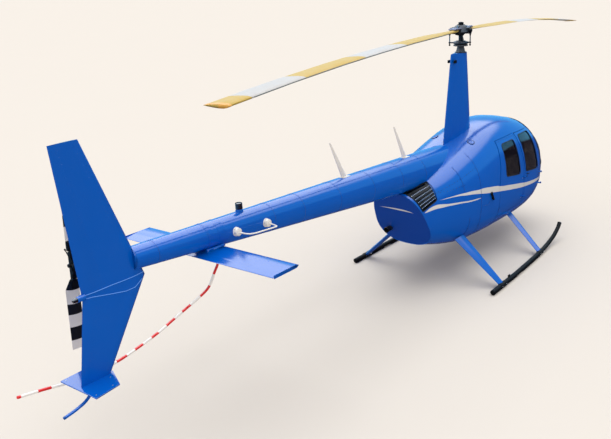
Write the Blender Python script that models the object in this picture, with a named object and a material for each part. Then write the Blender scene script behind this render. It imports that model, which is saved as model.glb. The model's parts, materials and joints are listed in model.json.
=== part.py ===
"""Light four-seat helicopter with a two-blade rotor, a cone boom and skids, at its real size in metres.

Stations are measured from the rotor mast: x to the machine's left, y aft, z up from the skids' soles.
The empty station_zero shifts them all, so that the model stands with the middle of its box at the origin.
"""
import math

import bmesh
import bpy
from mathutils import Matrix, Vector

# Driving sizes
FIT = 0.0003
LINING_GAP = 0.0009
DOOR_GAP = 0.006
DOOR_REAR_GAP = 0.018
BEARING_GAP = 0.0005

ROTOR_RADIUS = 5.03
HUB_TURN = math.radians(4.6)
BLADE_TURN = {"near": math.radians(5.3), "far": math.radians(3.9)}
BLADE_CHORD = 0.254
BLADE_THICK = 0.030
BLADE_ROOT = 0.14
BLADE_LEAD = 0.40
BLADE_DROOP = {"near": (0.185, 2.1), "far": (0.225, 2.4)}
HUB_Z = 3.225
HUB_TOP_Z = 3.33
GRIP_Z = (3.2428, 3.2615)
HORN_Z = (3.175, 3.200)
LINKS = {1: (0.140, 0.050), -1: (-0.115, -0.050)}
SWASH_Z = (3.018, 3.036, 3.050, 3.076)
SHAFT_RADIUS = 0.030

TAIL_HUB = Vector((0.43, 5.951, 1.82))
TAIL_TURN = math.radians(3.2)
TAIL_RADIUS = 0.737
TAIL_CHORD = 0.13
TAIL_LEAD = 0.30

# The helicopter's box runs from the far blade's tip to the guard's end
GUARD_TIP_Y = 6.709
GUARD_TUBE = 0.0125
GUARD_RIM = 0.003
BOX_FRONT_Y = -(ROTOR_RADIUS * math.cos(BLADE_TURN["far"])
                + (1 - BLADE_LEAD) * BLADE_CHORD * math.sin(BLADE_TURN["far"]))
BOX_MID_Y = (GUARD_TIP_Y + GUARD_RIM + BOX_FRONT_Y) / 2

WALL = 0.028
GLASS_IN = 0.006
GLASS_THICK = 0.006
ROUND = 2.65
RING_POINTS = 36
CABIN_END_Y = 0.50
BULKHEAD_Y = 0.36
BULKHEAD_THICK = 0.020
AFT_PLATE = 0.012
EXHAUST_RADIUS = 0.036
EXHAUST_ENDS = (Vector((0.212, 1.20, 0.835)), Vector((0.225, 1.575, 0.815)))

SKID_X = 1.09
SKID_TUBE = 0.032
SKID_Z = 0.044
SHOE_HALF = 0.016
SHOES = ((-0.50, 0.15), (0.35, 1.08))
LUG_Y = 0.59
LUG_HALF = (0.008, 0.025)
LUG_TOP_Z = 0.110

# Body sections: station, half width, belly height, height where it is widest, top height
SECTIONS = (
    (-2.325, 0.072, 0.884, 0.970, 1.040),
    (-2.270, 0.197, 0.776, 0.970, 1.172),
    (-2.150, 0.332, 0.676, 0.970, 1.318),
    (-1.950, 0.454, 0.572, 0.975, 1.482),
    (-1.700, 0.556, 0.482, 0.985, 1.645),
    (-1.400, 0.631, 0.412, 0.990, 1.805),
    (-1.050, 0.656, 0.376, 1.000, 1.898),
    (-0.650, 0.654, 0.373, 1.000, 1.940),
    (-0.200, 0.646, 0.386, 1.000, 1.905),
    (0.150, 0.638, 0.398, 1.000, 1.833),
    (0.480, 0.616, 0.416, 1.005, 1.745),
    (0.820, 0.572, 0.459, 1.010, 1.652),
    (1.120, 0.504, 0.535, 1.015, 1.555),
    (1.365, 0.439, 0.612, 1.000, 1.490),
    (1.600, 0.378, 0.712, 0.980, 1.436),
    (1.850, 0.325, 0.848, 0.980, 1.384),
)
NOSE_TIP = (-2.345, 0.970)

# The slanted face that closes the body aft: a point on it and its slope in y for each metre of height
AFT_FACE_POINT = (1.750, 1.375)
AFT_FACE_SLOPE = 0.502

# Boom: front and rear station, and its middle line and radius as straight lines through station 4
BOOM_FRONT_Y = 0.52
BOOM_REAR_Y = 5.70
BOOM_AT_4 = (1.753, 0.0722)
BOOM_RADIUS_AT_4 = (0.1486, -0.0301)
BOOM_WALL = 0.010

# Door openings and windows of the right side as outlines of station and height, front edge first
FRONT_DOOR = ((-1.540, 0.710), (-1.540, 1.030), (-1.270, 1.715), (-0.715, 1.735), (-0.850, 1.130),
              (-0.850, 0.710))
REAR_DOOR = ((-0.815, 0.660), (-0.815, 1.130), (-0.680, 1.740), (-0.150, 1.725), (-0.010, 1.160),
             (-0.040, 0.660))
FRONT_WINDOW = ((-1.385, 1.085), (-1.228, 1.680), (-0.805, 1.695), (-0.885, 1.145))
REAR_WINDOW = ((-0.690, 1.150), (-0.625, 1.670), (-0.250, 1.665), (-0.225, 1.215))
WINDSHIELD = ((-2.60, 1.10), (-1.640, 1.060), (-1.360, 1.735), (-1.330, 2.10), (-2.60, 2.10))
WINDOW_ROUND = 0.05
SIDE_CUT = (0.15, 0.9)
POST_HALF = 0.015

# Hinge line of each right-hand door: station and the two heights of its hinges
DOORS = {"front": (FRONT_DOOR, FRONT_WINDOW), "rear": (REAR_DOOR, REAR_WINDOW)}
DOOR_HINGES = {"front": (-1.561, (0.800, 0.980)), "rear": (-0.832, (0.780, 1.080))}
HINGE_OUT = 0.018
HINGE_ROOT = 0.065
ARM_HALF = 0.008
PIN_RADIUS = 0.005

# Louvre corners on the right shoulder: front top, front bottom, aft bottom, aft top
LOUVRE = ((-0.228, 1.308, 1.472), (-0.408, 1.356, 1.261), (-0.359, 1.619, 1.169), (-0.120, 1.708, 1.403))
LOUVRE_SLATS = 6

# Rod of the right-hand antenna, from the aft puck round to the fore one: distance out, station, height
NAV_LOOP = (
    (0.150, 4.610, 1.797),
    (0.205, 4.606, 1.794),
    (0.262, 4.586, 1.790),
    (0.294, 4.530, 1.787),
    (0.305, 4.430, 1.782),
    (0.318, 4.310, 1.778),
    (0.316, 4.262, 1.776),
    (0.270, 4.238, 1.772),
    (0.210, 4.222, 1.770),
    (0.150, 4.215, 1.769),
)

# Main blade: distance from the mast, chord and thickness
BLADE_ROWS = (
    (BLADE_ROOT, 0.070, 0.036),
    (0.45, 0.150, 0.036),
    (0.85, BLADE_CHORD, BLADE_THICK),
    (1.60, BLADE_CHORD, BLADE_THICK),
    (2.40, BLADE_CHORD, BLADE_THICK),
    (3.20, BLADE_CHORD, BLADE_THICK),
    (4.10, BLADE_CHORD, BLADE_THICK),
    (ROTOR_RADIUS, BLADE_CHORD, BLADE_THICK),
)

# Mast fairing: height, leading and trailing station, and thickness
FAIRING_ROWS = ((1.600, -0.265, 0.480, 0.230), (2.930, -0.130, 0.270, 0.130))
FAIRING_TOP_Z = FAIRING_ROWS[1][0]
FAIRING_WALL = 0.012

# Fin edges as height, leading and trailing station, and fin thickness as height and thickness
FIN_X = -0.030
FIN_ROWS = ((1.010, 6.060, 6.340), (1.715, 5.600, 6.200), (2.930, 6.020, 6.270))
FIN_THICK = ((1.010, 0.026), (1.715, 0.046), (2.930, 0.026))

# Guard under the tail rotor, from the tailplane's underside to its free end
GUARD_PATH = (
    (0.000, 4.745, 1.672),
    (0.000, 4.747, 1.560),
    (0.012, 4.752, 1.490),
    (0.040, 4.775, 1.412),
    (0.080, 4.810, 1.291),
    (0.120, 4.843, 1.223),
    (0.180, 4.927, 1.144),
    (0.220, 4.992, 1.095),
    (0.270, 5.154, 1.008),
    (0.288, 5.346, 0.942),
    (0.300, 5.774, 0.868),
    (0.290, 6.151, 0.891),
    (0.270, 6.491, 0.971),
    (0.250, GUARD_TIP_Y, 1.023),
)

# Skid tube: station, how much higher and how much further in than its straight part
SKID_PATH = (
    (-1.350, 0.225, 0.044),
    (-1.300, 0.170, 0.043),
    (-1.220, 0.125, 0.042),
    (-1.120, 0.083, 0.040),
    (-0.960, 0.045, 0.037),
    (-0.800, 0.022, 0.033),
    (-0.660, 0.010, 0.028),
    (-0.500, 0.004, 0.022),
    (-0.050, 0.000, 0.010),
    (0.350, 0.000, 0.000),
    (1.100, 0.000, 0.000),
)

# Strut fairings: name, station on the skid, station and height at the body, chord at the skid and body
STRUTS = (
    ("front", -0.550, -0.720, 0.520, 0.100, 0.130),
    ("rear", 0.800, 0.835, 0.620, 0.100, 0.235),
)
STRUT_TOP_X = 0.470

COLOURS = {
    "blue_paint": ((0.010, 0.090, 0.480), 0.22, 0.0),
    "black_paint": ((0.012, 0.012, 0.014), 0.45, 0.0),
    "dark_glass": ((0.010, 0.012, 0.012), 0.05, 0.0),
    "grey_metal": ((0.350, 0.350, 0.360), 0.35, 0.9),
    "rotor_metal": ((0.060, 0.060, 0.065), 0.40, 0.6),
    "yellow_paint": ((0.800, 0.520, 0.100), 0.45, 0.0),
    "white_paint": ((0.800, 0.800, 0.800), 0.40, 0.0),
    "red_paint": ((0.700, 0.030, 0.020), 0.40, 0.0),
    "leather": ((0.090, 0.080, 0.075), 0.60, 0.0),
    "trim_grey": ((0.120, 0.120, 0.125), 0.70, 0.0),
}


def fresh_scene():
    """Empties the scene and makes the two collections and the station empty."""
    for obj in list(bpy.data.objects):
        bpy.data.objects.remove(obj, do_unlink=True)
    for name in ("helicopter", "cutters"):
        collection = bpy.data.collections.new(name)
        bpy.context.scene.collection.children.link(collection)
    zero = bpy.data.objects.new("station_zero", None)
    bpy.data.collections["helicopter"].objects.link(zero)
    zero.location = (0.0, -BOX_MID_Y, 0.0)
    return zero


ZERO = fresh_scene()


def axis_empty(name, place):
    """An empty on a joint's axis, for the pieces that turn about it."""
    empty = bpy.data.objects.new(name, None)
    bpy.data.collections["helicopter"].objects.link(empty)
    empty.parent = ZERO
    empty.location = place
    return empty


def material(name):
    """The material of that name, made the first time that it is asked for."""
    if name in bpy.data.materials:
        return bpy.data.materials[name]
    made = bpy.data.materials.new(name)
    made.use_nodes = True
    shader = made.node_tree.nodes["Principled BSDF"]
    colour, roughness, metallic = COLOURS[name.split("__")[0]]
    shader.inputs["Base Color"].default_value = (*colour, 1.0)
    shader.inputs["Roughness"].default_value = roughness
    shader.inputs["Metallic"].default_value = metallic
    return made


def new_object(name, bm, finish=None, carrier=None, shade_angle=None):
    """Makes an object of a bmesh given in stations. With no finish it is a cutter."""
    bmesh.ops.recalc_face_normals(bm, faces=bm.faces)
    if carrier:
        bmesh.ops.translate(bm, verts=bm.verts, vec=-Vector(carrier.location))
    mesh = bpy.data.meshes.new(name)
    bm.to_mesh(mesh)
    bm.free()
    obj = bpy.data.objects.new(name, mesh)
    obj.parent = carrier or ZERO
    if finish:
        bpy.data.collections["helicopter"].objects.link(obj)
        mesh.materials.append(material(f"{finish}__{name}"))
        if shade_angle:
            mesh.shade_smooth()
            mesh.set_sharp_from_angle(angle=math.radians(shade_angle))
    else:
        bpy.data.collections["cutters"].objects.link(obj)
        obj.hide_render = True
        obj.display_type = "WIRE"
    return obj


def combine(obj, operation, *others):
    """Adds a Boolean with each of the other objects."""
    for other in others:
        boolean = obj.modifiers.new(f"{operation.lower()} {other.name}", "BOOLEAN")
        boolean.operation = operation
        boolean.solver = "EXACT"
        boolean.object = other
    return obj


def box(low, high):
    """A bmesh box between two corners."""
    bm = bmesh.new()
    bmesh.ops.create_cube(bm, size=1.0)
    low, high = Vector(low), Vector(high)
    bmesh.ops.scale(bm, verts=bm.verts, vec=high - low)
    bmesh.ops.translate(bm, verts=bm.verts, vec=(high + low) / 2)
    return bm


def rod(start, end, radius, end_radius=None, sides=16):
    """A bmesh cylinder or cone between two points."""
    bm = bmesh.new()
    start, end = Vector(start), Vector(end)
    along = end - start
    end_radius = radius if end_radius is None else end_radius
    turn = along.to_track_quat("Z", "Y").to_matrix().to_4x4()
    bmesh.ops.create_cone(bm, cap_ends=True, segments=sides, radius1=radius, radius2=end_radius,
                          depth=along.length, matrix=Matrix.Translation((start + end) / 2) @ turn)
    return bm


def outline_prism(outline, x_low, x_high, corner=0.0):
    """A bmesh prism along x of an outline of station and height, with rounded corners."""
    bm = bmesh.new()
    near = [bm.verts.new((x_low, y, z)) for y, z in outline]
    face = bm.faces.new(near)
    out = bmesh.ops.extrude_face_region(bm, geom=[face])
    moved = [item for item in out["geom"] if isinstance(item, bmesh.types.BMVert)]
    bmesh.ops.translate(bm, verts=moved, vec=(x_high - x_low, 0.0, 0.0))
    if corner:
        along = [edge for edge in bm.edges if abs(edge.verts[0].co.x - edge.verts[1].co.x) > 0.01]
        bmesh.ops.bevel(bm, geom=along, offset=corner, affect="EDGES", segments=3, profile=0.5,
                        material=-1)
    return bm


def shrunk(outline, gap, rear_gap=None):
    """The outline with each edge moved inwards by a gap, wider at a slanted edge that faces aft."""
    rear_gap = gap if rear_gap is None else rear_gap
    points = [Vector(point) for point in outline]
    middle = sum(points, Vector((0.0, 0.0))) / len(points)
    lines = []
    for start, end in zip(points, points[1:] + points[:1]):
        along = (end - start).normalized()
        inwards = Vector((-along.y, along.x))
        if inwards.dot(middle - start) < 0:
            inwards.negate()
        slanted_aft = inwards.x < -0.7 and abs(along.x) > 0.1
        lines.append((start + inwards * (rear_gap if slanted_aft else gap), along))
    corners = []
    for (start, along), (other, across) in zip([lines[-1]] + lines[:-1], lines):
        reach = (other - start).cross(across) / along.cross(across)
        corners.append(tuple(start + along * reach))
    return corners


def between(value, rows):
    """Smoothly reads the columns after the first from rows sorted by their first column."""
    last = len(rows) - 2
    at = min(max(sum(1 for row in rows if row[0] <= value) - 1, 0), last)
    low, high = rows[at], rows[at + 1]
    before, after = rows[max(at - 1, 0)], rows[min(at + 2, last + 1)]
    span = high[0] - low[0]
    t = (value - low[0]) / span
    out = []
    for column in range(1, len(low)):
        slope_low = (high[column] - before[column]) / (high[0] - before[0]) * span
        slope_high = (after[column] - low[column]) / (after[0] - low[0]) * span
        out.append((2 * t ** 3 - 3 * t ** 2 + 1) * low[column] + (t ** 3 - 2 * t ** 2 + t) * slope_low
                   + (3 * t ** 2 - 2 * t ** 3) * high[column] + (t ** 3 - t ** 2) * slope_high)
    return out


def body_ring(station, inset):
    """The points of the body's section at a station, moved inwards by the inset."""
    half, low, wide, top = between(station, SECTIONS)
    points = []
    for step in range(RING_POINTS):
        angle = 2 * math.pi * step / RING_POINTS
        c, s = math.cos(angle), math.sin(angle)
        height = (top - wide if s > 0 else wide - low) - inset
        x = (half - inset) * math.copysign(abs(c) ** (2 / ROUND), c)
        z = wide + height * math.copysign(abs(s) ** (2 / ROUND), s)
        points.append((x, station, z))
    return points


def side_x(station, height):
    """How far out the body's skin is at a station and height."""
    half, low, wide, top = between(station, SECTIONS)
    reach = top - wide if height > wide else wide - low
    return half * (1 - (abs(height - wide) / reach) ** ROUND) ** (1 / ROUND)


def body_loft(inset):
    """A closed bmesh of the whole body, its walls moved inwards by the inset."""
    bm = bmesh.new()
    stations = []
    for at in range(len(SECTIONS) - 1):
        stations.append(SECTIONS[at][0])
        if SECTIONS[at][0] > -2.2:
            stations.append((SECTIONS[at][0] + SECTIONS[at + 1][0]) / 2)
    stations.append(SECTIONS[-1][0])
    stations = [station for station in stations if station > NOSE_TIP[0] + 1.5 * inset + 0.015]
    rings = [[bm.verts.new(point) for point in body_ring(station, inset)] for station in stations]
    for ring, following in zip(rings, rings[1:]):
        for step in range(RING_POINTS):
            after = (step + 1) % RING_POINTS
            bm.faces.new((ring[step], ring[after], following[after], following[step]))
    tip = bm.verts.new((0.0, NOSE_TIP[0] + inset, NOSE_TIP[1]))
    for step in range(RING_POINTS):
        bm.faces.new((rings[0][(step + 1) % RING_POINTS], rings[0][step], tip))
    bm.faces.new(rings[-1])
    return bm


def aft_block(offset):
    """A bmesh block behind the slanted aft face, moved aft along y by the offset."""
    y, z = AFT_FACE_POINT
    low_y = y - z * AFT_FACE_SLOPE + offset
    high_y = y + (3.0 - z) * AFT_FACE_SLOPE + offset
    return outline_prism(((low_y, 0.0), (high_y, 3.0), (4.0, 3.0), (4.0, 0.0)), -1.5, 1.5)


def boom_height(station):
    """Height of the boom's middle line."""
    return BOOM_AT_4[0] + BOOM_AT_4[1] * (station - 4.0)


def boom_radius(station):
    """Radius of the boom."""
    return BOOM_RADIUS_AT_4[0] + BOOM_RADIUS_AT_4[1] * (station - 4.0)


def boom_cone(front, rear, extra=0.0, sides=32):
    """A bmesh cone along the boom."""
    return rod((0.0, front, boom_height(front)), (0.0, rear, boom_height(rear)),
               boom_radius(front) + extra, boom_radius(rear) + extra, sides)


def airfoil(chord, thickness, points=7):
    """Distance from the leading edge and height of a symmetric aerofoil, once round."""
    upper = []
    for step in range(points + 1):
        t = (1 - math.cos(math.pi * step / points)) / 2
        shape = 2.969 * math.sqrt(t) - 1.260 * t - 3.516 * t ** 2 + 2.843 * t ** 3 - 0.96 * t ** 4
        upper.append((t * chord, max(shape, 0.04) * thickness / 2))
    upper[0] = (0.0, 0.0)
    lower = [(along, -height) for along, height in reversed(upper[1:])]
    return upper + lower


def loft(sections):
    """A closed bmesh through sections that have the same number of points."""
    bm = bmesh.new()
    rings = [[bm.verts.new(point) for point in section] for section in sections]
    for ring, following in zip(rings, rings[1:]):
        for step in range(len(ring)):
            after = (step + 1) % len(ring)
            bm.faces.new((ring[step], ring[after], following[after], following[step]))
    bm.faces.new(rings[0])
    bm.faces.new(rings[-1])
    return bm


def tube_object(name, points, radius, finish, carrier=None, smooth=True, resolution=2):
    """A tube along points, turned into a mesh object."""
    curve = bpy.data.curves.new(name, "CURVE")
    curve.dimensions = "3D"
    curve.bevel_depth = radius
    curve.bevel_resolution = resolution
    curve.use_fill_caps = True
    spline = curve.splines.new("POLY")
    path = smooth_path(points) if smooth else points
    spline.points.add(len(path) - 1)
    for point, place in zip(spline.points, path):
        point.co = (*place, 1.0)
    guide = bpy.data.objects.new(f"{name}_path", curve)
    bpy.data.collections["cutters"].objects.link(guide)
    bpy.context.view_layer.update()
    mesh = bpy.data.meshes.new_from_object(guide.evaluated_get(bpy.context.evaluated_depsgraph_get()))
    bpy.data.objects.remove(guide, do_unlink=True)
    bm = bmesh.new()
    bm.from_mesh(mesh)
    bmesh.ops.remove_doubles(bm, verts=bm.verts, dist=0.0001)
    bpy.data.meshes.remove(mesh)
    return new_object(name, bm, finish, carrier)


def smooth_path(points, steps=4):
    """Points of a smooth curve through the given ones."""
    points = [Vector(point) for point in points]
    path = []
    for at in range(len(points) - 1):
        before = points[max(at - 1, 0)]
        after = points[min(at + 2, len(points) - 1)]
        low, high = points[at], points[at + 1]
        for step in range(steps):
            t = step / steps
            path.append(0.5 * (2 * low + (high - before) * t
                               + (2 * before - 5 * low + 4 * high - after) * t ** 2
                               + (3 * low - before - 3 * high + after) * t ** 3))
    path.append(points[-1])
    return path


# Cutters that several pieces share
BODY_OUTER = new_object("cut_body_outer", body_loft(0.0))
BODY_OUTER_FIT = new_object("cut_body_outer_fit", body_loft(-FIT))
BODY_INNER = new_object("cut_body_inner", body_loft(WALL))
BODY_LINING = new_object("cut_body_lining", body_loft(WALL + LINING_GAP))
GLASS_OUTER = new_object("cut_glass_outer", body_loft(GLASS_IN))
GLASS_INNER = new_object("cut_glass_inner", body_loft(GLASS_IN + GLASS_THICK))
BOOM_FIT = new_object("cut_boom_fit", boom_cone(BOOM_FRONT_Y - 0.002, BOOM_REAR_Y, FIT))
AFT_CUT = new_object("cut_aft_block", aft_block(0.0))
AFT_PLATE_CUT = new_object("cut_aft_plate", aft_block(-AFT_PLATE - FIT))


def build_windows_and_doors():
    """The four doors with their panes, and the openings that they leave in the shell."""
    openings = []
    for side, sign in (("right", -1), ("left", 1)):
        for place, (opening, window) in DOORS.items():
            station, heights = DOOR_HINGES[place]
            hinge_x = sign * (max(side_x(station + 0.03, height) for height in heights) + HINGE_OUT)
            carrier = axis_empty(f"{place}_door_{side}_axis", (hinge_x, station, heights[0]))
            name = f"{place}_door_{side}"
            reach = sign * SIDE_CUT[0], sign * SIDE_CUT[1]
            openings.append(new_object(f"cut_{name}_opening", outline_prism(opening, *reach)))
            panel = outline_prism(shrunk(opening, DOOR_GAP, DOOR_REAR_GAP), *reach)
            door = new_object(name, panel, "blue_paint", carrier)
            glazing = new_object(f"cut_{name}_window", outline_prism(window, *reach, WINDOW_ROUND))
            combine(door, "INTERSECT", BODY_OUTER)
            combine(door, "DIFFERENCE", BODY_INNER, glazing)
            for count, height in enumerate(heights):
                combine(door, "UNION", *hinge_arm(f"{name}_{count}", hinge_x, station, height, sign))
            pane_outline = shrunk(window, FIT)
            pane = new_object(f"{name}_window", outline_prism(pane_outline, *reach, WINDOW_ROUND),
                              "dark_glass", carrier)
            combine(pane, "INTERSECT", GLASS_OUTER)
            combine(pane, "DIFFERENCE", GLASS_INNER)
    return openings


def hinge_arm(name, hinge_x, station, height, sign):
    """The door's arm over the hinge line and the pin that hangs from it."""
    low, high = height + BEARING_GAP, height + 0.012
    arm = box((hinge_x - ARM_HALF, station - ARM_HALF, low), (hinge_x + ARM_HALF, station + 0.060, high))
    root_x = hinge_x - sign * HINGE_ROOT
    root = box((min(root_x, hinge_x), station + 0.034, low + 0.001),
               (max(root_x, hinge_x), station + 0.058, high - 0.001))
    pin = rod((hinge_x, station, height - 0.016), (hinge_x, station, height + 0.006), PIN_RADIUS, sides=12)
    return (new_object(f"cut_{name}_arm", arm), new_object(f"cut_{name}_root", root),
            new_object(f"cut_{name}_pin", pin))


def hinge_bracket(name, hinge_x, station, height, sign):
    """The shell's bracket under the door's arm, and the hole for the pin."""
    root_x, end_x = hinge_x - sign * HINGE_ROOT, hinge_x + sign * ARM_HALF
    bracket = box((min(root_x, end_x), station - 0.014, height - 0.012),
                  (max(root_x, end_x), station + 0.010, height))
    hole = rod((hinge_x, station, height - 0.05), (hinge_x, station, height + 0.05),
               PIN_RADIUS + BEARING_GAP, sides=12)
    return new_object(f"cut_{name}_bracket", bracket), new_object(f"cut_{name}_hole", hole)


def build_cabin_shell(openings):
    """The fixed skin of the cabin with its nose, roof, posts and belly, open aft."""
    shell = new_object("cabin_shell", body_loft(0.0), "blue_paint")
    aft = new_object("cut_cabin_aft", box((-1.0, CABIN_END_Y, 0.0), (1.0, 3.0, 3.0)))
    combine(shell, "DIFFERENCE", BODY_INNER, aft, *openings)
    for side, sign in (("right", -1), ("left", 1)):
        cut = new_object(f"cut_windshield_{side}", outline_prism(WINDSHIELD, sign * POST_HALF, sign * 0.9))
        combine(shell, "DIFFERENCE", cut)
        pane = outline_prism(shrunk(WINDSHIELD, FIT), sign * (POST_HALF + FIT), sign * 0.9)
        glass = new_object(f"windshield_{side}", pane, "dark_glass")
        combine(glass, "INTERSECT", GLASS_OUTER)
        combine(glass, "DIFFERENCE", GLASS_INNER)
        for place, (station, heights) in DOOR_HINGES.items():
            hinge_x = sign * (max(side_x(station + 0.03, height) for height in heights) + HINGE_OUT)
            for count, height in enumerate(heights):
                name = f"{place}_{side}_{count}"
                bracket, hole = hinge_bracket(name, hinge_x, station, height, sign)
                combine(shell, "UNION", bracket)
                combine(shell, "DIFFERENCE", hole)
    return shell


def build_cabin_inside():
    """Floor, bulkhead, seats, console and cyclic, which show through the glass."""
    floor = new_object("cabin_floor", box((-0.9, -2.1, 0.560), (0.9, BULKHEAD_Y - FIT, 0.580)), "trim_grey")
    combine(floor, "INTERSECT", BODY_LINING)
    wall = box((-0.9, BULKHEAD_Y, 0.0), (0.9, BULKHEAD_Y + BULKHEAD_THICK, 3.0))
    bulkhead = new_object("rear_bulkhead", wall, "trim_grey")
    combine(bulkhead, "INTERSECT", BODY_LINING)
    for side, sign in (("right", -1), ("left", 1)):
        seat("front_seat_" + side, sign * 0.254, 0.200, -1.22, -0.78)
        seat("rear_seat_" + side, sign * 0.258, 0.208, -0.32, 0.10)
    console = outline_prism(((-1.86, 0.5803), (-1.86, 1.08), (-1.72, 1.15), (-1.62, 1.12), (-1.55, 0.70),
                             (-1.42, 0.5803)), -0.14, 0.14, 0.015)
    new_object("console", console, "black_paint")
    stick = tube_object("cyclic_stick", ((0.0, -1.20, 0.595), (0.0, -1.26, 0.75), (0.0, -1.34, 0.92),
                                         (0.0, -1.36, 1.02)), 0.014, "black_paint")
    boot = new_object("cut_cyclic_boot", rod((0.0, -1.20, 0.5803), (0.0, -1.20, 0.610), 0.035, 0.020))
    bar = tube_object("cut_cyclic_bar", ((0.0, -1.36, 1.01), (0.20, -1.37, 1.01), (0.30, -1.36, 0.96),
                                         (0.30, -1.34, 0.86)), 0.011, None)
    combine(stick, "UNION", bar, boot)


def seat(name, x, half, front, back):
    """A seat box with its cushion and a reclined back, in one outline."""
    side = ((front, 0.5803), (front - 0.03, 0.86), (front + 0.01, 0.885), (back - 0.02, 0.865),
            (back + 0.14, 1.42), (back + 0.22, 1.41), (back + 0.10, 0.86), (back + 0.04, 0.5803))
    new_object(name, outline_prism(side, x - half, x + half, 0.02), "leather")


def build_engine_bay():
    """The cowl behind the cabin with its slanted aft panel, louvres, exhaust and engine."""
    cowl = new_object("engine_cowl", box((-1.0, CABIN_END_Y + FIT, 0.0), (1.0, 1.9, 3.0)), "blue_paint")
    combine(cowl, "INTERSECT", BODY_OUTER)
    combine(cowl, "DIFFERENCE", BODY_INNER, AFT_PLATE_CUT, BOOM_FIT)
    plate = new_object("aft_cowl_panel", aft_block(-AFT_PLATE), "blue_paint")
    combine(plate, "INTERSECT", BODY_OUTER)
    combine(plate, "DIFFERENCE", AFT_CUT, BOOM_FIT)
    hole = new_object("cut_exhaust_hole", rod(*EXHAUST_ENDS, EXHAUST_RADIUS + FIT, sides=20))
    combine(plate, "DIFFERENCE", hole)
    pipe = new_object("exhaust_pipe", rod(*EXHAUST_ENDS, EXHAUST_RADIUS, sides=20), "grey_metal")
    bore_ends = [end + Vector((0, 0.1, 0)) for end in EXHAUST_ENDS]
    bore = new_object("cut_exhaust_bore", rod(*bore_ends, EXHAUST_RADIUS - 0.004, sides=20))
    combine(pipe, "DIFFERENCE", bore)
    engine = new_object("engine_block", box((-0.30, 0.52, 0.620), (0.30, 1.05, 0.980)), "trim_grey")
    for sign in (-1, 1):
        mount = rod((sign * 0.22, BULKHEAD_Y + BULKHEAD_THICK + FIT, 0.90), (sign * 0.22, 0.60, 0.90), 0.015)
        combine(engine, "UNION", new_object(f"cut_engine_mount_{sign}", mount))
    for side, sign in (("right", -1), ("left", 1)):
        corners = [Vector((-sign * x, y, z)) for x, y, z in LOUVRE]
        out = (corners[2] - corners[0]).cross(corners[3] - corners[1]).normalized()
        if out.x * sign < 0:
            out.negate()
        name = f"louvre_{side}"
        hole = new_object(f"cut_{name}_hole", louvre_prism(corners, out, 0.0))
        combine(cowl, "DIFFERENCE", hole)
        grille = new_object(name, louvre_prism(corners, out, FIT), "black_paint")
        combine(grille, "INTERSECT", GLASS_OUTER)
        combine(grille, "DIFFERENCE", BODY_INNER, BOOM_FIT)
        for slot in range(LOUVRE_SLATS):
            cut = louvre_slot(corners, out, (slot + 0.5) / LOUVRE_SLATS)
            combine(grille, "DIFFERENCE", new_object(f"cut_{name}_slot_{slot}", cut))


def louvre_prism(corners, out, inset):
    """A bmesh prism through the louvre's corners along its outward direction."""
    middle = sum(corners, Vector()) / len(corners)
    inner = [corner + (middle - corner).normalized() * inset * 1.5 for corner in corners]
    return loft([[corner - out * 0.12 for corner in inner], [corner + out * 0.12 for corner in inner]])


def louvre_slot(corners, out, share):
    """A bmesh slot that runs fore and aft through the louvre, a share of the way down it."""
    front = corners[0].lerp(corners[1], share)
    aft = corners[3].lerp(corners[2], share)
    front, aft = front.lerp(aft, 0.10), aft.lerp(front, 0.10)
    across = (corners[1] - corners[0]).normalized() * 0.011
    ring = [front - across, front + across, aft + across, aft - across]
    return loft([[point - out * 0.10 for point in ring], [point + out * 0.10 for point in ring]])


def build_mast():
    """The tall mast fairing, the fixed mast tube and the swashplate that doesn't turn."""
    fairing = new_object("mast_fairing", fairing_loft(1.60, FAIRING_TOP_Z, 0.0), "blue_paint")
    hollow = new_object("cut_fairing_hollow", fairing_loft(1.50, FAIRING_TOP_Z - FAIRING_WALL, FAIRING_WALL))
    combine(fairing, "DIFFERENCE", BODY_OUTER_FIT, BOOM_FIT, hollow)
    tube = new_object("mast_tube", rod((0, 0, FAIRING_TOP_Z + FIT), (0, 0, 3.022), 0.060, 0.044, 24),
                      "rotor_metal")
    ring = new_object("cut_fixed_swashplate", rod((0, 0, SWASH_Z[0]), (0, 0, SWASH_Z[1]), 0.098, sides=24))
    bore = new_object("cut_mast_bore", rod((0, 0, 2.940), (0, 0, 3.10), SHAFT_RADIUS + BEARING_GAP,
                                           sides=24))
    combine(tube, "UNION", ring)
    combine(tube, "DIFFERENCE", bore)


def fairing_loft(low, high, inset):
    """A bmesh of the mast fairing between two heights, its sides moved inwards by the inset."""
    sections = []
    for height in (low, high):
        lead, trail, thick = straight(height, FAIRING_ROWS)
        sections.append([(across, lead + 2 * inset + along, height)
                         for along, across in airfoil(trail - lead - 6 * inset, thick - 2 * inset)])
    return loft(sections)


def turned(bm, turn=HUB_TURN):
    """Turns a rotor piece to the angle at which the rotor rests."""
    bmesh.ops.rotate(bm, verts=bm.verts, cent=(0, 0, 0), matrix=Matrix.Rotation(turn, 3, "Z"))
    return bm


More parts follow.
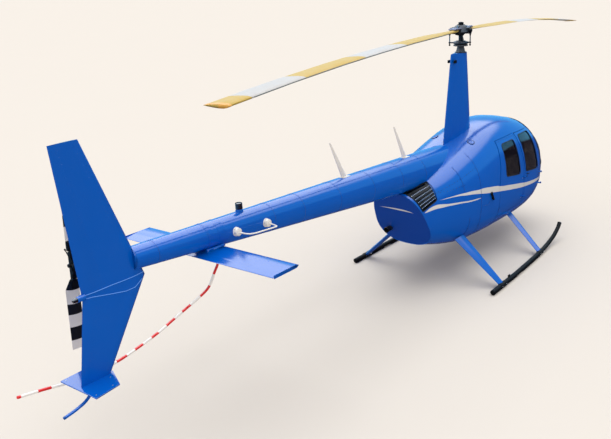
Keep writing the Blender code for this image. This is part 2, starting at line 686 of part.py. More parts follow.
def build_main_rotor():
    """The hub with its shaft, the turning swashplate with its links, and two blades."""
    axis = axis_empty("main_rotor_axis", (0.0, 0.0, HUB_Z))
    hub = new_object("rotor_hub", rod((0, 0, 3.178), (0, 0, 3.290), 0.125, 0.070, 24), "rotor_metal", axis)
    shaft = new_object("cut_rotor_shaft", rod((0, 0, 2.9405), (0, 0, 3.20), SHAFT_RADIUS, sides=24))
    nut = new_object("cut_rotor_nut", rod((0, 0, 3.27), (0, 0, HUB_TOP_Z), 0.036, sides=6))
    bolt = new_object("cut_teeter_bolt", turned(rod((-0.16, 0, 3.225), (0.16, 0, 3.225), 0.030)))
    combine(hub, "UNION", shaft, nut, bolt)
    plate = new_object("swashplate_and_links", rod((0, 0, SWASH_Z[2]), (0, 0, SWASH_Z[3]), 0.104, 0.096, 24),
                       "rotor_metal", axis)
    bore = new_object("cut_swashplate_bore", rod((0, 0, 2.9), (0, 0, 3.2), SHAFT_RADIUS + 0.022, sides=24))
    collar = new_object("cut_swashplate_collar", rod((0, 0, SWASH_Z[1] + BEARING_GAP),
                                                     (0, 0, SWASH_Z[2] + 0.01), 0.085, sides=24))
    combine(plate, "UNION", collar)
    combine(plate, "DIFFERENCE", bore)
    for end, (out, back) in LINKS.items():
        grip = turned(box((-0.05, min(end * 0.04, end * 0.30), GRIP_Z[0]),
                          (0.05, max(end * 0.04, end * 0.30), GRIP_Z[1])))
        low, high = min(0, out + end * 0.015), max(0, out + end * 0.015)
        horn = turned(box((low, back - 0.02, HORN_Z[0]), (high, back + 0.02, HORN_Z[1])))
        low, high = min(end * 0.07, out + end * 0.015), max(end * 0.07, out + end * 0.015)
        ear = turned(box((low, back - 0.015, SWASH_Z[2] + 0.004), (high, back + 0.015, SWASH_Z[3] - 0.004)))
        link = turned(rod((out, back, 3.022), (out, back, HORN_Z[0] - FIT), 0.008, sides=10))
        combine(hub, "UNION", new_object(f"cut_grip_{end}", grip), new_object(f"cut_horn_{end}", horn))
        combine(plate, "UNION", new_object(f"cut_ear_{end}", ear), new_object(f"cut_link_{end}", link))
    for place, end in (("near", 1), ("far", -1)):
        blade = turned(main_blade(end, *BLADE_DROOP[place]), BLADE_TURN[place])
        new_object(f"main_blade_{place}", blade, "yellow_paint", axis, 40)


def main_blade(end, droop, power):
    """A bmesh blade that droops towards its tip, along +y or -y, its round edge first as it turns."""
    sections = []
    for reach, chord, thick in BLADE_ROWS:
        height = HUB_Z - droop * (reach / ROTOR_RADIUS) ** power
        sections.append([(end * (along - BLADE_LEAD * chord), end * reach, height + up)
                         for along, up in airfoil(chord, thick)])
    return loft(sections)


def build_boom():
    """The boom with its stabilizer, antennas and beacon."""
    boom = new_object("tail_boom", boom_cone(BOOM_FRONT_Y, BOOM_REAR_Y), "blue_paint", None, 40)
    hollow = new_object("cut_boom_hollow", boom_cone(BOOM_FRONT_Y - 0.1, BOOM_REAR_Y - 0.25, -BOOM_WALL))
    slot = new_object("cut_fin_slot", fin(FIN_ROWS[1][0] + FIT, FIN_ROWS[2][0], 2 * FIT))
    combine(boom, "DIFFERENCE", hollow, slot)
    stabilizer = new_object("stabilizer", stabilizer_block(0.0), "blue_paint")
    strap = new_object("cut_stabilizer_strap", box((-0.10, 4.75, 1.675), (0.10, 4.95, 1.72)))
    combine(stabilizer, "UNION", strap)
    combine(stabilizer, "DIFFERENCE", BOOM_FIT)
    for name, station, tip in (("antenna_aft", 2.72, (2.98, 2.28)), ("antenna_fore", 1.44, (1.70, 2.22))):
        foot = boom_height(station) + boom_radius(station)
        ring = [((0.012 * math.cos(a), 0.045 * math.sin(a))) for a in angles(10)]
        low = [(x, station + 0.01 + y, foot - 0.03) for x, y in ring]
        high = [(0.4 * x, tip[0] + 0.3 * y, tip[1]) for x, y in ring]
        antenna = new_object(name, loft([low, high]), "white_paint")
        combine(antenna, "DIFFERENCE", BOOM_FIT)
    foot = boom_height(4.42) + boom_radius(4.42)
    beacon = new_object("beacon", rod((0, 4.42, foot - 0.03), (0, 4.42, 2.00), 0.038, 0.030, 20),
                        "black_paint")
    combine(beacon, "DIFFERENCE", BOOM_FIT)
    for side, sign in (("right", -1), ("left", 1)):
        nav_antenna(f"nav_antenna_{side}", sign)


def stabilizer_block(extra):
    """A bmesh of the flat tailplane, grown by an extra, whose tips are cut square."""
    sections = [[(x, 4.71 - extra + along, 1.672 + up)
                 for along, up in airfoil(0.34 + 2 * extra, 0.036 + 2 * extra)] for x in (-0.95, 0.95)]
    return loft(sections)


def angles(count):
    """Evenly spaced angles once round."""
    return [2 * math.pi * step / count for step in range(count)]


def nav_antenna(name, sign):
    """Two pucks on the boom's side joined by a rod that stands out from them in a loop."""
    pucks = []
    for station in (4.215, 4.610):
        reach = boom_radius(station)
        place = boom_height(station)
        pucks.append(rod((sign * (reach - 0.03), station, place), (sign * (reach + 0.035), station, place),
                         0.038, sides=16))
    antenna = new_object(name, pucks[0], "white_paint")
    second = new_object(f"cut_{name}_puck", pucks[1])
    loop = [(sign * x, station, height) for x, station, height in NAV_LOOP]
    bow = tube_object(f"cut_{name}_bow", loop, 0.007, None)
    combine(antenna, "UNION", bow, second)
    combine(antenna, "DIFFERENCE", BOOM_FIT)


def fin(low, high, extra=0.0):
    """A bmesh of the vertical fin between two heights."""
    heights = [low] + [row[0] for row in FIN_ROWS if low < row[0] < high] + [high]
    sections = []
    for height in heights:
        lead, trail = straight(height, FIN_ROWS)
        thick = straight(height, FIN_THICK)[0] + 2 * extra
        sections.append([(FIN_X + across, lead - extra + along, height)
                         for along, across in airfoil(trail - lead + 2 * extra, thick)])
    return loft(sections)


def straight(value, rows):
    """Reads the columns after the first from rows, along straight lines."""
    at = min(max(sum(1 for row in rows if row[0] <= value) - 1, 0), len(rows) - 2)
    low, high = rows[at], rows[at + 1]
    t = (value - low[0]) / (high[0] - low[0])
    return [a + (b - a) * t for a, b in zip(low[1:], high[1:])]


def build_tail():
    """Fins, end plate, tail skid, light, gearbox and the guard."""
    split = FIN_ROWS[1][0]
    new_object("upper_fin", fin(split + FIT, FIN_ROWS[2][0]), "blue_paint")
    new_object("lower_fin", fin(FIN_ROWS[0][0], split), "blue_paint")
    plate_top = FIN_ROWS[0][0] - FIT
    corners = ((0.202, 6.370), (-0.262, 6.370), (-0.240, 6.135), (-0.022, 6.035), (0.202, 6.155))
    plate = loft([[(x, y, plate_top - 0.012) for x, y in corners], [(x, y, plate_top) for x, y in corners]])
    new_object("fin_end_plate", plate, "blue_paint")
    under = plate_top - 0.012 - FIT
    skid = tube_object("tail_skid", ((FIN_X, 6.20, 1.02), (FIN_X, 6.25, 0.94), (FIN_X, 6.32, 0.880),
                                     (FIN_X, 6.42, 0.850), (FIN_X, 6.530, 0.834)), 0.013, "blue_paint")
    combine(skid, "DIFFERENCE", new_object("cut_tail_skid", box((-0.5, 6.0, under), (0.5, 6.6, 1.2))))
    light = new_object("tail_light", rod((FIN_X, 6.185, 1.73), (FIN_X, 6.285, 1.73), 0.026, 0.014),
                       "white_paint")
    combine(light, "DIFFERENCE",
            new_object("cut_light_upper", fin(split + FIT, FIN_ROWS[2][0], FIT)),
            new_object("cut_light_lower", fin(FIN_ROWS[0][0], split + FIT, FIT)))
    face = FIN_X + FIN_THICK[1][1] / 2 + 0.001
    case = new_object("tail_gearbox", rod((face, TAIL_HUB.y, TAIL_HUB.z), (0.20, TAIL_HUB.y, TAIL_HUB.z),
                                          0.080, 0.050, 20), "rotor_metal")
    neck = new_object("cut_gearbox_neck", box((face, BOOM_REAR_Y + 0.0076, TAIL_HUB.z - 0.05),
                                              (0.075, TAIL_HUB.y, TAIL_HUB.z + 0.05)))
    bore = new_object("cut_gearbox_bore", rod((0.10, TAIL_HUB.y, TAIL_HUB.z), (0.3, TAIL_HUB.y, TAIL_HUB.z),
                                              0.018 + BEARING_GAP, sides=16))
    combine(case, "UNION", neck)
    combine(case, "DIFFERENCE", bore)
    guard = tube_object("tail_rotor_guard", GUARD_PATH, GUARD_TUBE, "red_paint")
    combine(guard, "DIFFERENCE", new_object("cut_guard_top", stabilizer_block(FIT)))


def build_tail_rotor():
    """The tail rotor's hub with its shaft, and two blades."""
    axis = axis_empty("tail_rotor_axis", TAIL_HUB)
    x, y, z = TAIL_HUB
    bar = tail_turned(box((x - 0.020, y - 0.022, z - 0.12), (x + 0.020, y + 0.022, z + 0.12)))
    hub = new_object("tail_rotor_hub", bar, "rotor_metal", axis)
    shaft = new_object("cut_tail_shaft", rod((0.1005, y, z), (x + 0.035, y, z), 0.018, sides=16))
    spider = new_object("cut_tail_spider", box((x - 0.075, y - 0.045, z - 0.050),
                                               (x - 0.060, y + 0.045, z + 0.050)))
    combine(hub, "UNION", shaft, spider)
    for name, end in (("tail_blade_upper", 1), ("tail_blade_lower", -1)):
        sections = []
        for reach, chord, thick in ((0.12 + FIT, 0.06, 0.026), (0.20, TAIL_CHORD, 0.016),
                                    (TAIL_RADIUS, TAIL_CHORD, 0.012)):
            sections.append([(x + up, y + end * (TAIL_LEAD * chord - along), z + end * reach)
                             for along, up in airfoil(chord, thick, 6)])
        new_object(name, tail_turned(loft(sections)), "black_paint", axis)


def tail_turned(bm):
    """Turns a tail rotor piece to the angle at which it rests."""
    bmesh.ops.rotate(bm, verts=bm.verts, cent=TAIL_HUB, matrix=Matrix.Rotation(TAIL_TURN, 3, "X"))
    return bm


def build_landing_gear():
    """Two skids with a turned-up toe, and the four faired struts that carry the body."""
    for side, sign in (("right", -1), ("left", 1)):
        x = sign * SKID_X
        path = [(sign * (SKID_X - inwards), station, SKID_Z + up) for station, up, inwards in SKID_PATH]
        skid = tube_object(f"skid_{side}", path, SKID_TUBE, "black_paint", smooth=False)
        lug = box((x - LUG_HALF[0], LUG_Y - LUG_HALF[1], SKID_Z),
                  (x + LUG_HALF[0], LUG_Y + LUG_HALF[1], LUG_TOP_Z))
        combine(skid, "UNION", new_object(f"cut_lug_{side}", lug))
        for count, (fore, aft) in enumerate(SHOES):
            combine(skid, "UNION", new_object(f"cut_shoe_{side}_{count}", shoe_block(sign, fore, aft)))
        tube_fit = tube_object(f"cut_skid_fit_{side}", path, SKID_TUBE + FIT, None, smooth=False)
        for place, foot_y, top_y, top_z, foot_chord, top_chord in STRUTS:
            rise, inwards = straight(foot_y, SKID_PATH)
            foot = Vector((sign * (SKID_X - inwards), foot_y, SKID_Z + rise))
            top = Vector((sign * STRUT_TOP_X, top_y, top_z))
            strut = new_object(f"strut_{place}_{side}", strut_loft(foot, top, foot_chord, top_chord),
                               "blue_paint")
            combine(strut, "DIFFERENCE", tube_fit, BODY_OUTER_FIT)


def shoe_block(sign, fore, aft):
    """A bmesh of the flat wear shoe under a skid between two stations."""
    sections = []
    for station in (fore, aft):
        x = sign * (SKID_X - straight(station, SKID_PATH)[1])
        sections.append([(x + across * SHOE_HALF, station, height)
                         for across, height in ((-1, 0.0), (1, 0.0), (1, SKID_Z - SKID_TUBE / 2),
                                                (-1, SKID_Z - SKID_TUBE / 2))])
    return loft(sections)


def strut_loft(foot, top, foot_chord, top_chord):
    """A bmesh fairing that widens from the skid up to the body."""
    along = (top - foot).normalized()
    across = along.cross(Vector((0, 1, 0))).normalized()
    sections = []
    for point, chord, thick in ((foot, foot_chord, 0.050), (top, top_chord, 0.055)):
        sections.append([point + Vector((0, y - 0.4 * chord, 0)) + across * up
                         for y, up in airfoil(chord, thick)])
    return loft(sections)


def main():
    """Builds the helicopter."""
    build_cabin_shell(build_windows_and_doors())
    build_cabin_inside()
    build_engine_bay()
    build_mast()
    build_main_rotor()
    build_boom()
    build_tail()
    build_tail_rotor()
    build_landing_gear()


main()
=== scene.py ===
"""Looks of a light four-seat helicopter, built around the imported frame.

Shapes are given in metres and in stations, as in the part's source: x to the machine's left, y aft of the
rotor mast and z up from the skids' soles. Form.finish moves each shape to the mast's place in the frame, so
that every piece's object stays at the origin.
"""
import json
import logging
import math
from collections.abc import Callable, Iterable, Sequence
from dataclasses import dataclass, field
from enum import Enum

import bmesh
import bpy
from mathutils import Matrix, Vector
from mathutils.bvhtree import BVHTree


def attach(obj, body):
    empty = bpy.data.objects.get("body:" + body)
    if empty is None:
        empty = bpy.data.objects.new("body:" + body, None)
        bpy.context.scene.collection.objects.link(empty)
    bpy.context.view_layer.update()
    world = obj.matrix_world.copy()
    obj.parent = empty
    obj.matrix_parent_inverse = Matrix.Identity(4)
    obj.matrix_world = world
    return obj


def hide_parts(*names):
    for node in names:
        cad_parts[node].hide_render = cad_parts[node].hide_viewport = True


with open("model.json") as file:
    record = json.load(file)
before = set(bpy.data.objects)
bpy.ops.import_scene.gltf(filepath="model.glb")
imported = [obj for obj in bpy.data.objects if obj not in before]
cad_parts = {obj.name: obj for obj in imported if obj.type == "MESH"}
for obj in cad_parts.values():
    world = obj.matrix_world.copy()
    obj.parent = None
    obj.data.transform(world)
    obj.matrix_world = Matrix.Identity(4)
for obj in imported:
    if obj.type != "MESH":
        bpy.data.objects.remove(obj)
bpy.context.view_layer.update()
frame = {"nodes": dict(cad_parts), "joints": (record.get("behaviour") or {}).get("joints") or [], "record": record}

log = logging.getLogger("helicopter")
Point = Sequence[float]
Tree = bpy.types.NodeTree
Socket = bpy.types.NodeSocket
Piece = bpy.types.Object
Inputs = dict[str | int, object]

MAST_Y: float = next(joint["pos_m"][1] for joint in frame["joints"] if joint["name"] == "main_rotor_spin")
MAST = Vector((0.0, MAST_Y, 0.0))
SIDES: dict[str, int] = {"right": -1, "left": 1}
MERGE = 0.00002
# Radius and height of the rivets' and the quarter-turn screws' heads
RIVET = (0.0036, 0.0016)
SCREW = (0.0055, 0.002)
# Sockets of a Mix node for colours, which share their names with those for values
MIX_A, MIX_B, MIX_OUT = 6, 7, 2
CLOTH_FRAMES = 20


class Body(Enum):
    """The bodies of the frame that pieces ride on."""

    AIRFRAME = "airframe"
    MAIN_ROTOR = "main_rotor"
    TAIL_ROTOR = "tail_rotor"
    FRONT_DOOR_RIGHT = "front_door_right"
    FRONT_DOOR_LEFT = "front_door_left"
    REAR_DOOR_RIGHT = "rear_door_right"
    REAR_DOOR_LEFT = "rear_door_left"


class Slot(Enum):
    """The record's material slots."""

    BLUE = "blue_paint"
    GLAZING = "tinted_glazing"
    BLACK = "black_paint"
    TRIM = "cabin_trim"
    ENGINE = "engine_metal"
    LEATHER = "seat_leather"
    EXHAUST = "exhaust_steel"
    ROTOR = "rotor_metal"
    MAIN_BLADE = "main_blade_paint"
    TAIL_BLADE = "tail_blade_paint"
    GUARD = "guard_paint"
    WHITE = "white_plastic"


# ---- Nodes and colours


def linear(colour: str) -> tuple[float, float, float, float]:
    """Turns an sRGB hex colour to linear.

    Args:
        colour: Six hex digits, such as "0A55B8".

    Returns:
        The linear red, green and blue, and an alpha of 1.
    """
    parts = [int(colour[at:at + 2], 16) / 255 for at in (0, 2, 4)]
    red, green, blue = (p / 12.92 if p <= 0.04045 else ((p + 0.055) / 1.055) ** 2.4 for p in parts)
    return red, green, blue, 1.0


def add(tree: Tree, kind: str, inputs: Inputs | None = None, curve: Iterable[Point] = (),
        ramp: Iterable[tuple[float, str]] = (), **settings: object) -> bpy.types.Node:
    """Adds a node with its settings, its inputs' values and its links.

    Args:
        tree: The node tree.
        kind: The node's type, without the "ShaderNode" before it.
        inputs: Values, or other nodes' output sockets, by input name or number.
        curve: The points of a Float Curve.
        ramp: The stops of a Color Ramp, as place and hex colour.
        **settings: Properties of the node.

    Returns:
        The node.
    """
    made = tree.nodes.new(f"ShaderNode{kind}")
    for name, value in settings.items():
        setattr(made, name, value)
    for name, value in (inputs or {}).items():
        if isinstance(value, Socket):
            tree.links.new(value, made.inputs[name])
        else:
            made.inputs[name].default_value = value
    for count, (place, value) in enumerate(curve):
        points = made.mapping.curves[0].points
        if count < 2:
            points[count].location = (place, value)
        else:
            points.new(place, value)
    for count, (place, colour) in enumerate(ramp):
        stops = made.color_ramp.elements
        stop = stops[count] if count < 2 else stops.new(place)
        stop.position, stop.color = place, linear(colour)
    return made


# ---- Finishes


@dataclass(frozen=True)
class Finish:
    """A plain finish: its slot in the record, the values of its shader, and hooks for its colour and surface."""

    name: str
    colour: str
    slot: Slot | None = None
    roughness: float = 0.4
    metallic: float = 0.0
    ior: float = 1.5
    specular: float = 0.5
    coat: float = 0.0
    coat_roughness: float = 0.05
    sheen: float = 0.0
    transmission: float = 0.0
    tone: float = 0.06
    tone_mm: float = 300.0
    grain_mm: float = 4.0
    grain: float = 0.05

    def material(self) -> bpy.types.Material:
        """Returns the material, made the first time that it is asked for."""
        if self.name in bpy.data.materials:
            return bpy.data.materials[self.name]
        made = bpy.data.materials.new(self.name)
        made.use_nodes = True
        tree = made.node_tree
        shader = tree.nodes["Principled BSDF"]
        values = {"Metallic": self.metallic, "IOR": self.ior, "Specular IOR Level": self.specular,
                  "Coat Weight": self.coat, "Coat Roughness": self.coat_roughness, "Sheen Weight": self.sheen,
                  "Transmission Weight": self.transmission}
        for name, value in values.items():
            shader.inputs[name].default_value = value
        place = add(tree, "TexCoord").outputs["Object"]
        tree.links.new(self.paint(tree, place), shader.inputs["Base Color"])
        tree.links.new(self.gloss(tree, place), shader.inputs["Roughness"])
        tree.links.new(self.surface(tree, place), shader.inputs["Normal"])
        return made

    def paint(self, tree: Tree, place: Socket) -> Socket:
        """Returns the colour socket: the colour with soft, large changes of tone."""
        cloud = add(tree, "TexNoise", {"Vector": place, "Scale": 1000 / self.tone_mm, "Detail": 3.0})
        value = add(tree, "MapRange", {"Value": cloud.outputs[0], "To Min": 1 - self.tone, "To Max": 1 + self.tone})
        tint = self.pattern(tree, place)
        made = add(tree, "HueSaturation", {"Color": tint, "Value": value.outputs[0]})
        return made.outputs[0]

    def pattern(self, tree: Tree, place: Socket) -> object:
        """Returns the colour before its changes of tone, as a socket or a plain colour."""
        return linear(self.colour)

    def gloss(self, tree: Tree, place: Socket) -> Socket:
        """Returns the roughness socket, a little uneven as handling and dust leave it."""
        cloud = add(tree, "TexNoise", {"Vector": place, "Scale": 4000 / self.tone_mm, "Detail": 5.0})
        return add(tree, "MapRange", {"Value": cloud.outputs[0], "To Min": self.roughness * 0.75,
                                      "To Max": self.roughness * 1.3}).outputs[0]

    def surface(self, tree: Tree, place: Socket) -> Socket:
        """Returns the normal socket: a fine grain at the size that its making leaves."""
        grain = add(tree, "TexNoise", {"Vector": place, "Scale": 1000 / self.grain_mm, "Detail": 2.0})
        return add(tree, "Bump", {"Height": grain.outputs[0], "Strength": self.grain, "Distance": 0.001}).outputs[0]


def stations(tree: Tree, place: Socket, centre: Point = (0.0, 0.0, 0.0)) -> dict[str, Socket]:
    """Returns the X, Y and Z sockets of a point in stations, measured from a centre."""
    moved = add(tree, "Mapping", {"Vector": place, "Location": (-centre[0], -centre[1] - MAST_Y, -centre[2])})
    return add(tree, "SeparateXYZ", {0: moved.outputs[0]}).outputs


@dataclass(frozen=True)
class Stripe:
    """A painted stripe along the body's sides: its upper and lower edge as station and height."""

    upper: tuple[tuple[float, float], ...]
    lower: tuple[tuple[float, float], ...]

    LOW_Y = -1.80
    SPAN_Y = 3.60
    LOW_Z = 0.70
    SPAN_Z = 0.80

    def edge(self, tree: Tree, along: Socket, points: Iterable[Point]) -> Socket:
        """Returns the height of an edge at a station."""
        scaled = [((y - self.LOW_Y) / self.SPAN_Y, (z - self.LOW_Z) / self.SPAN_Z) for y, z in points]
        share = add(tree, "MapRange", {"Value": along, "From Min": self.LOW_Y, "From Max": self.LOW_Y + self.SPAN_Y})
        height = add(tree, "FloatCurve", {"Value": share.outputs[0]}, curve=sorted(scaled))
        height.mapping.update()
        return add(tree, "MapRange", {"Value": height.outputs[0], "To Min": self.LOW_Z, "To Max": self.LOW_Z
                                      + self.SPAN_Z}).outputs[0]

    def mask(self, tree: Tree, along: Socket, height: Socket) -> Socket:
        """Returns 1 on the stripe and 0 beside it."""
        below = add(tree, "Math", {0: self.edge(tree, along, self.upper), 1: height}, operation="SUBTRACT").outputs[0]
        above = add(tree, "Math", {0: height, 1: self.edge(tree, along, self.lower)}, operation="SUBTRACT").outputs[0]
        least = add(tree, "Math", {0: below, 1: above}, operation="MINIMUM").outputs[0]
        return add(tree, "MapRange", {"Value": least, "From Max": 0.003}, interpolation_type="SMOOTHSTEP").outputs[0]


@dataclass(frozen=True)
class Enamel(Finish):
    """Two-pack enamel sprayed on sheet aluminium: glossy, with a faint orange peel and silver stripes."""

    roughness: float = 0.16
    tone: float = 0.03
    tone_mm: float = 700.0
    grain_mm: float = 9.0
    grain: float = 0.012
    stripes: tuple[Stripe, ...] = ()
    stripe_colour: str = "C4C5C7"
    across: bool = False

    def pattern(self, tree: Tree, place: Socket) -> Socket:
        """Returns the blue with its stripes."""
        colour = linear(self.colour)
        where = stations(tree, place)
        for stripe in self.stripes:
            mask = stripe.mask(tree, where["X" if self.across else "Y"], where["Z"])
            colour = add(tree, "Mix", {"Factor": mask, MIX_A: colour, MIX_B: linear(self.stripe_colour)},
                         data_type="RGBA").outputs[MIX_OUT]
        return colour


@dataclass(frozen=True)
class BandedPaint(Finish):
    """Epoxy paint on a rotor blade, in bands by the distance from a hub, dulled by rain along its length."""

    centre: tuple[float, float, float] = (0.0, 0.0, 0.0)
    radius: float = 1.0
    bands: tuple[tuple[float, str], ...] = ()

    def pattern(self, tree: Tree, place: Socket) -> Socket:
        """Returns the bands' colours, each from its own distance outwards."""
        moved = add(tree, "Mapping",
                    {"Vector": place, "Location": (-self.centre[0], -self.centre[1] - MAST_Y, -self.centre[2])})
        reach = add(tree, "VectorMath", {0: moved.outputs[0]}, operation="LENGTH").outputs["Value"]
        share = add(tree, "Math", {0: reach, 1: self.radius}, operation="DIVIDE").outputs[0]
        ramp = add(tree, "ValToRGB", {0: share}, ramp=[(start / self.radius, colour) for start, colour in self.bands])
        ramp.color_ramp.interpolation = "CONSTANT"
        return ramp.outputs[0]


@dataclass(frozen=True)
class GuardPaint(Finish):
    """Gloss enamel in red and white bands along a bent tube, by the tube's own length attribute."""

    white: str = "E9E6E2"
    length: float = 2.60
    bands: tuple[tuple[float, float], ...] = ()

    def pattern(self, tree: Tree, place: Socket) -> Socket:
        """Returns red or white by the length along the tube."""
        along = add(tree, "Attribute", attribute_name="along").outputs["Fac"]
        share = add(tree, "Math", {0: along, 1: self.length}, operation="DIVIDE").outputs[0]
        stops = [(0.0, self.white)]
        for start, end in self.bands:
            stops += [(start / self.length, self.colour), (end / self.length, self.white)]
        ramp = add(tree, "ValToRGB", {0: share}, ramp=stops)
        ramp.color_ramp.interpolation = "CONSTANT"
        return ramp.outputs[0]


@dataclass(frozen=True)
class WornBlack(Finish):
    """Satin black enamel on steel tube, rubbed to grey metal near the ground."""

    bare: str = "5B5B5C"
    worn_below: float = 0.016

    def pattern(self, tree: Tree, place: Socket) -> Socket:
        """Returns black, with scuffs of bare metal on the wear shoes."""
        height = stations(tree, place)["Z"]
        scuff = add(tree, "TexNoise", {"Vector": place, "Scale": 45.0, "Detail": 6.0}).outputs[0]
        low = add(tree, "MapRange", {"Value": height, "From Min": self.worn_below, "From Max": 0.0})
        rubbed = add(tree, "MapRange", {"Value": scuff, "From Min": 0.50, "From Max": 0.62})
        worn = add(tree, "Math", {0: low.outputs[0], 1: rubbed.outputs[0]}, operation="MULTIPLY")
        return add(tree, "Mix", {"Factor": worn.outputs[0], MIX_A: linear(self.colour), MIX_B: linear(self.bare)},
                   data_type="RGBA").outputs[MIX_OUT]


@dataclass(frozen=True)
class Leather(Finish):
    """Coated seat leather: a pebbled grain, softly shiny on the pebbles and darker in the creases."""

    pebble_mm: float = 5.0

    def surface(self, tree: Tree, place: Socket) -> Socket:
        """Returns pebbles. They are drawn about three times too coarse, so that they show at all."""
        cells = add(tree, "TexVoronoi", {"Vector": place, "Scale": 1000 / self.pebble_mm},
                    feature="DISTANCE_TO_EDGE").outputs[0]
        crowns = add(tree, "MapRange", {"Value": cells, "From Max": 0.35}, interpolation_type="SMOOTHSTEP").outputs[0]
        return add(tree, "Bump", {"Height": crowns, "Strength": 0.35, "Distance": 0.0008}).outputs[0]


@dataclass(frozen=True)
class Carpet(Finish):
    """Short looped carpet: matt, with a pile that breaks up the light."""

    loop_mm: float = 4.0

    def surface(self, tree: Tree, place: Socket) -> Socket:
        """Returns the loops of the pile."""
        loops = add(tree, "TexVoronoi", {"Vector": place, "Scale": 1000 / self.loop_mm}).outputs[0]
        return add(tree, "Bump", {"Height": loops, "Strength": 0.8, "Distance": 0.002}).outputs[0]


@dataclass(frozen=True)
class Brushed(Finish):
    """Metal turned or drawn in one direction, with fine lines across its axis."""

    stretch: tuple[float, float, float] = (1.0, 1.0, 30.0)

    def surface(self, tree: Tree, place: Socket) -> Socket:
        """Returns fine parallel lines."""
        drawn = add(tree, "Mapping", {"Vector": place, "Scale": self.stretch}).outputs[0]
        lines = add(tree, "TexNoise", {"Vector": drawn, "Scale": 60.0, "Detail": 4.0}).outputs[0]
        return add(tree, "Bump", {"Height": lines, "Strength": self.grain, "Distance": 0.001}).outputs[0]


@dataclass(frozen=True)
class HeatSteel(Finish):
    """Stainless steel that heat has turned straw and brown towards its end."""

    def pattern(self, tree: Tree, place: Socket) -> Socket:
        """Returns heat colours along the pipe, broken up by noise."""
        along = stations(tree, place)["Y"]
        cloud = add(tree, "TexNoise", {"Vector": place, "Scale": 18.0, "Detail": 4.0}).outputs[0]
        mixed = add(tree, "Math", {0: cloud, 1: 0.12, 2: along}, operation="MULTIPLY_ADD").outputs[0]
        share = add(tree, "MapRange", {"Value": mixed, "From Min": 1.40, "From Max": 1.66}).outputs[0]
        return add(tree, "ValToRGB", {0: share}, ramp=[(0.0, "8E8A84"), (1.0, "2E2724"), (0.45, "9C8A6C"),
                                                       (0.75, "6A5648")]).outputs[0]


# Stripes of the body's sides and the short one on the aft panel, as station and height of both edges
MAIN_STRIPE = Stripe(
    upper=((-1.80, 0.858), (-1.484, 0.905), (-1.154, 0.942), (-0.910, 0.972), (-0.693, 1.010), (-0.484, 1.046),
           (-0.284, 1.081), (-0.089, 1.115), (0.096, 1.161), (0.266, 1.189), (0.424, 1.213), (0.570, 1.222),
           (0.706, 1.238), (0.834, 1.246), (0.950, 1.252), (1.060, 1.254), (1.330, 1.250), (1.80, 1.20)),
    lower=((-1.80, 0.838), (-1.480, 0.862), (-1.167, 0.887), (-0.919, 0.911), (-0.704, 0.937), (-0.491, 0.972),
           (-0.289, 1.006), (-0.093, 1.041), (0.095, 1.075), (0.268, 1.105), (0.429, 1.136), (0.576, 1.167),
           (0.712, 1.192), (0.841, 1.210), (0.954, 1.228), (1.062, 1.238), (1.330, 1.250), (1.80, 1.28)))
AFT_STRIPE = Stripe(
    upper=((-1.80, 1.00), (0.380, 1.060), (0.520, 1.098), (0.775, 1.124), (0.966, 1.151), (1.078, 1.164),
           (1.183, 1.177), (1.291, 1.196), (1.374, 1.207), (1.600, 1.150), (1.80, 1.04)),
    lower=((-1.80, 1.20), (0.380, 1.096), (0.520, 1.090), (0.775, 1.104), (0.966, 1.128), (1.078, 1.136),
           (1.183, 1.146), (1.291, 1.150), (1.392, 1.156), (1.600, 1.150), (1.80, 1.20)))
PANEL_STRIPE = Stripe(
    upper=((-1.80, 1.00), (-0.262, 1.128), (-0.155, 1.156), (-0.033, 1.168), (0.137, 1.166), (0.305, 1.153),
           (1.80, 1.00)), lower=((-1.80, 1.25), (-0.262, 1.132), (-0.155, 1.138), (-0.033, 1.143), (0.137, 1.150),
                                 (0.305, 1.155), (1.80, 1.25)))

# Two-pack enamel on sheet metal: deep, even colour under a mirror-like clear coat
BLUE = Enamel("two_pack_enamel_blue", "0052B2", Slot.BLUE)
BLUE_STRIPED = Enamel("two_pack_enamel_blue_striped", "0052B2", Slot.BLUE, stripes=(MAIN_STRIPE, AFT_STRIPE))
# The aft panel's blue is painted darker than the body's enamel, as painted shade on that panel, with its own short
# stripe
SHADED_BLUE_PANEL = Enamel("two_pack_enamel_blue_panel_painted_shade", "003C98", Slot.BLUE, 0.2, stripes=(PANEL_STRIPE,), across=True)
# The same enamel run into a seam, where it looks darker, and a pale blue on an edge bead, which is a painted
# highlight where the bead catches light
SEAM_BLUE = Enamel(
    "two_pack_enamel_seam_blue", "0A4390", Slot.BLUE, roughness=0.5, tone=0.05, tone_mm=300, grain_mm=4, grain=0.02)
# Painted highlight: a paler blue for the light caught along the fins' joint beads
HIGHLIGHT_BLUE = Enamel(
    "two_pack_enamel_painted_highlight_blue", "5E97E8", Slot.BLUE, roughness=0.3, tone=0.05, tone_mm=300, grain_mm=4, grain=0.02)
# Grey tinted cast acrylic: dark, with a hard mirror gloss and a glimpse of the cabin behind it
ACRYLIC = Finish("cast_acrylic_grey_tint", "5E5B59", Slot.GLAZING, roughness=0.03, ior=1.49, specular=0.15,
                 transmission=1.0, tone=0.02, grain=0.0)
# EPDM rubber seal: dead matt black
RUBBER = Finish("epdm_rubber_seal", "121212", Slot.BLACK, roughness=0.85, grain_mm=2, grain=0.2)
# Satin enamel on steel tube, with scuffed soles
SKID_BLACK = WornBlack(
    "satin_enamel_black_steel", "070708", Slot.BLACK, roughness=0.6, specular=0.15, grain_mm=3, grain=0.08)
# Satin enamel on pressed louvres and small fittings
SATIN_BLACK = Finish("satin_enamel_black", "0B0B0D", Slot.BLACK, roughness=0.5, specular=0.2, grain_mm=3, grain=0.06)
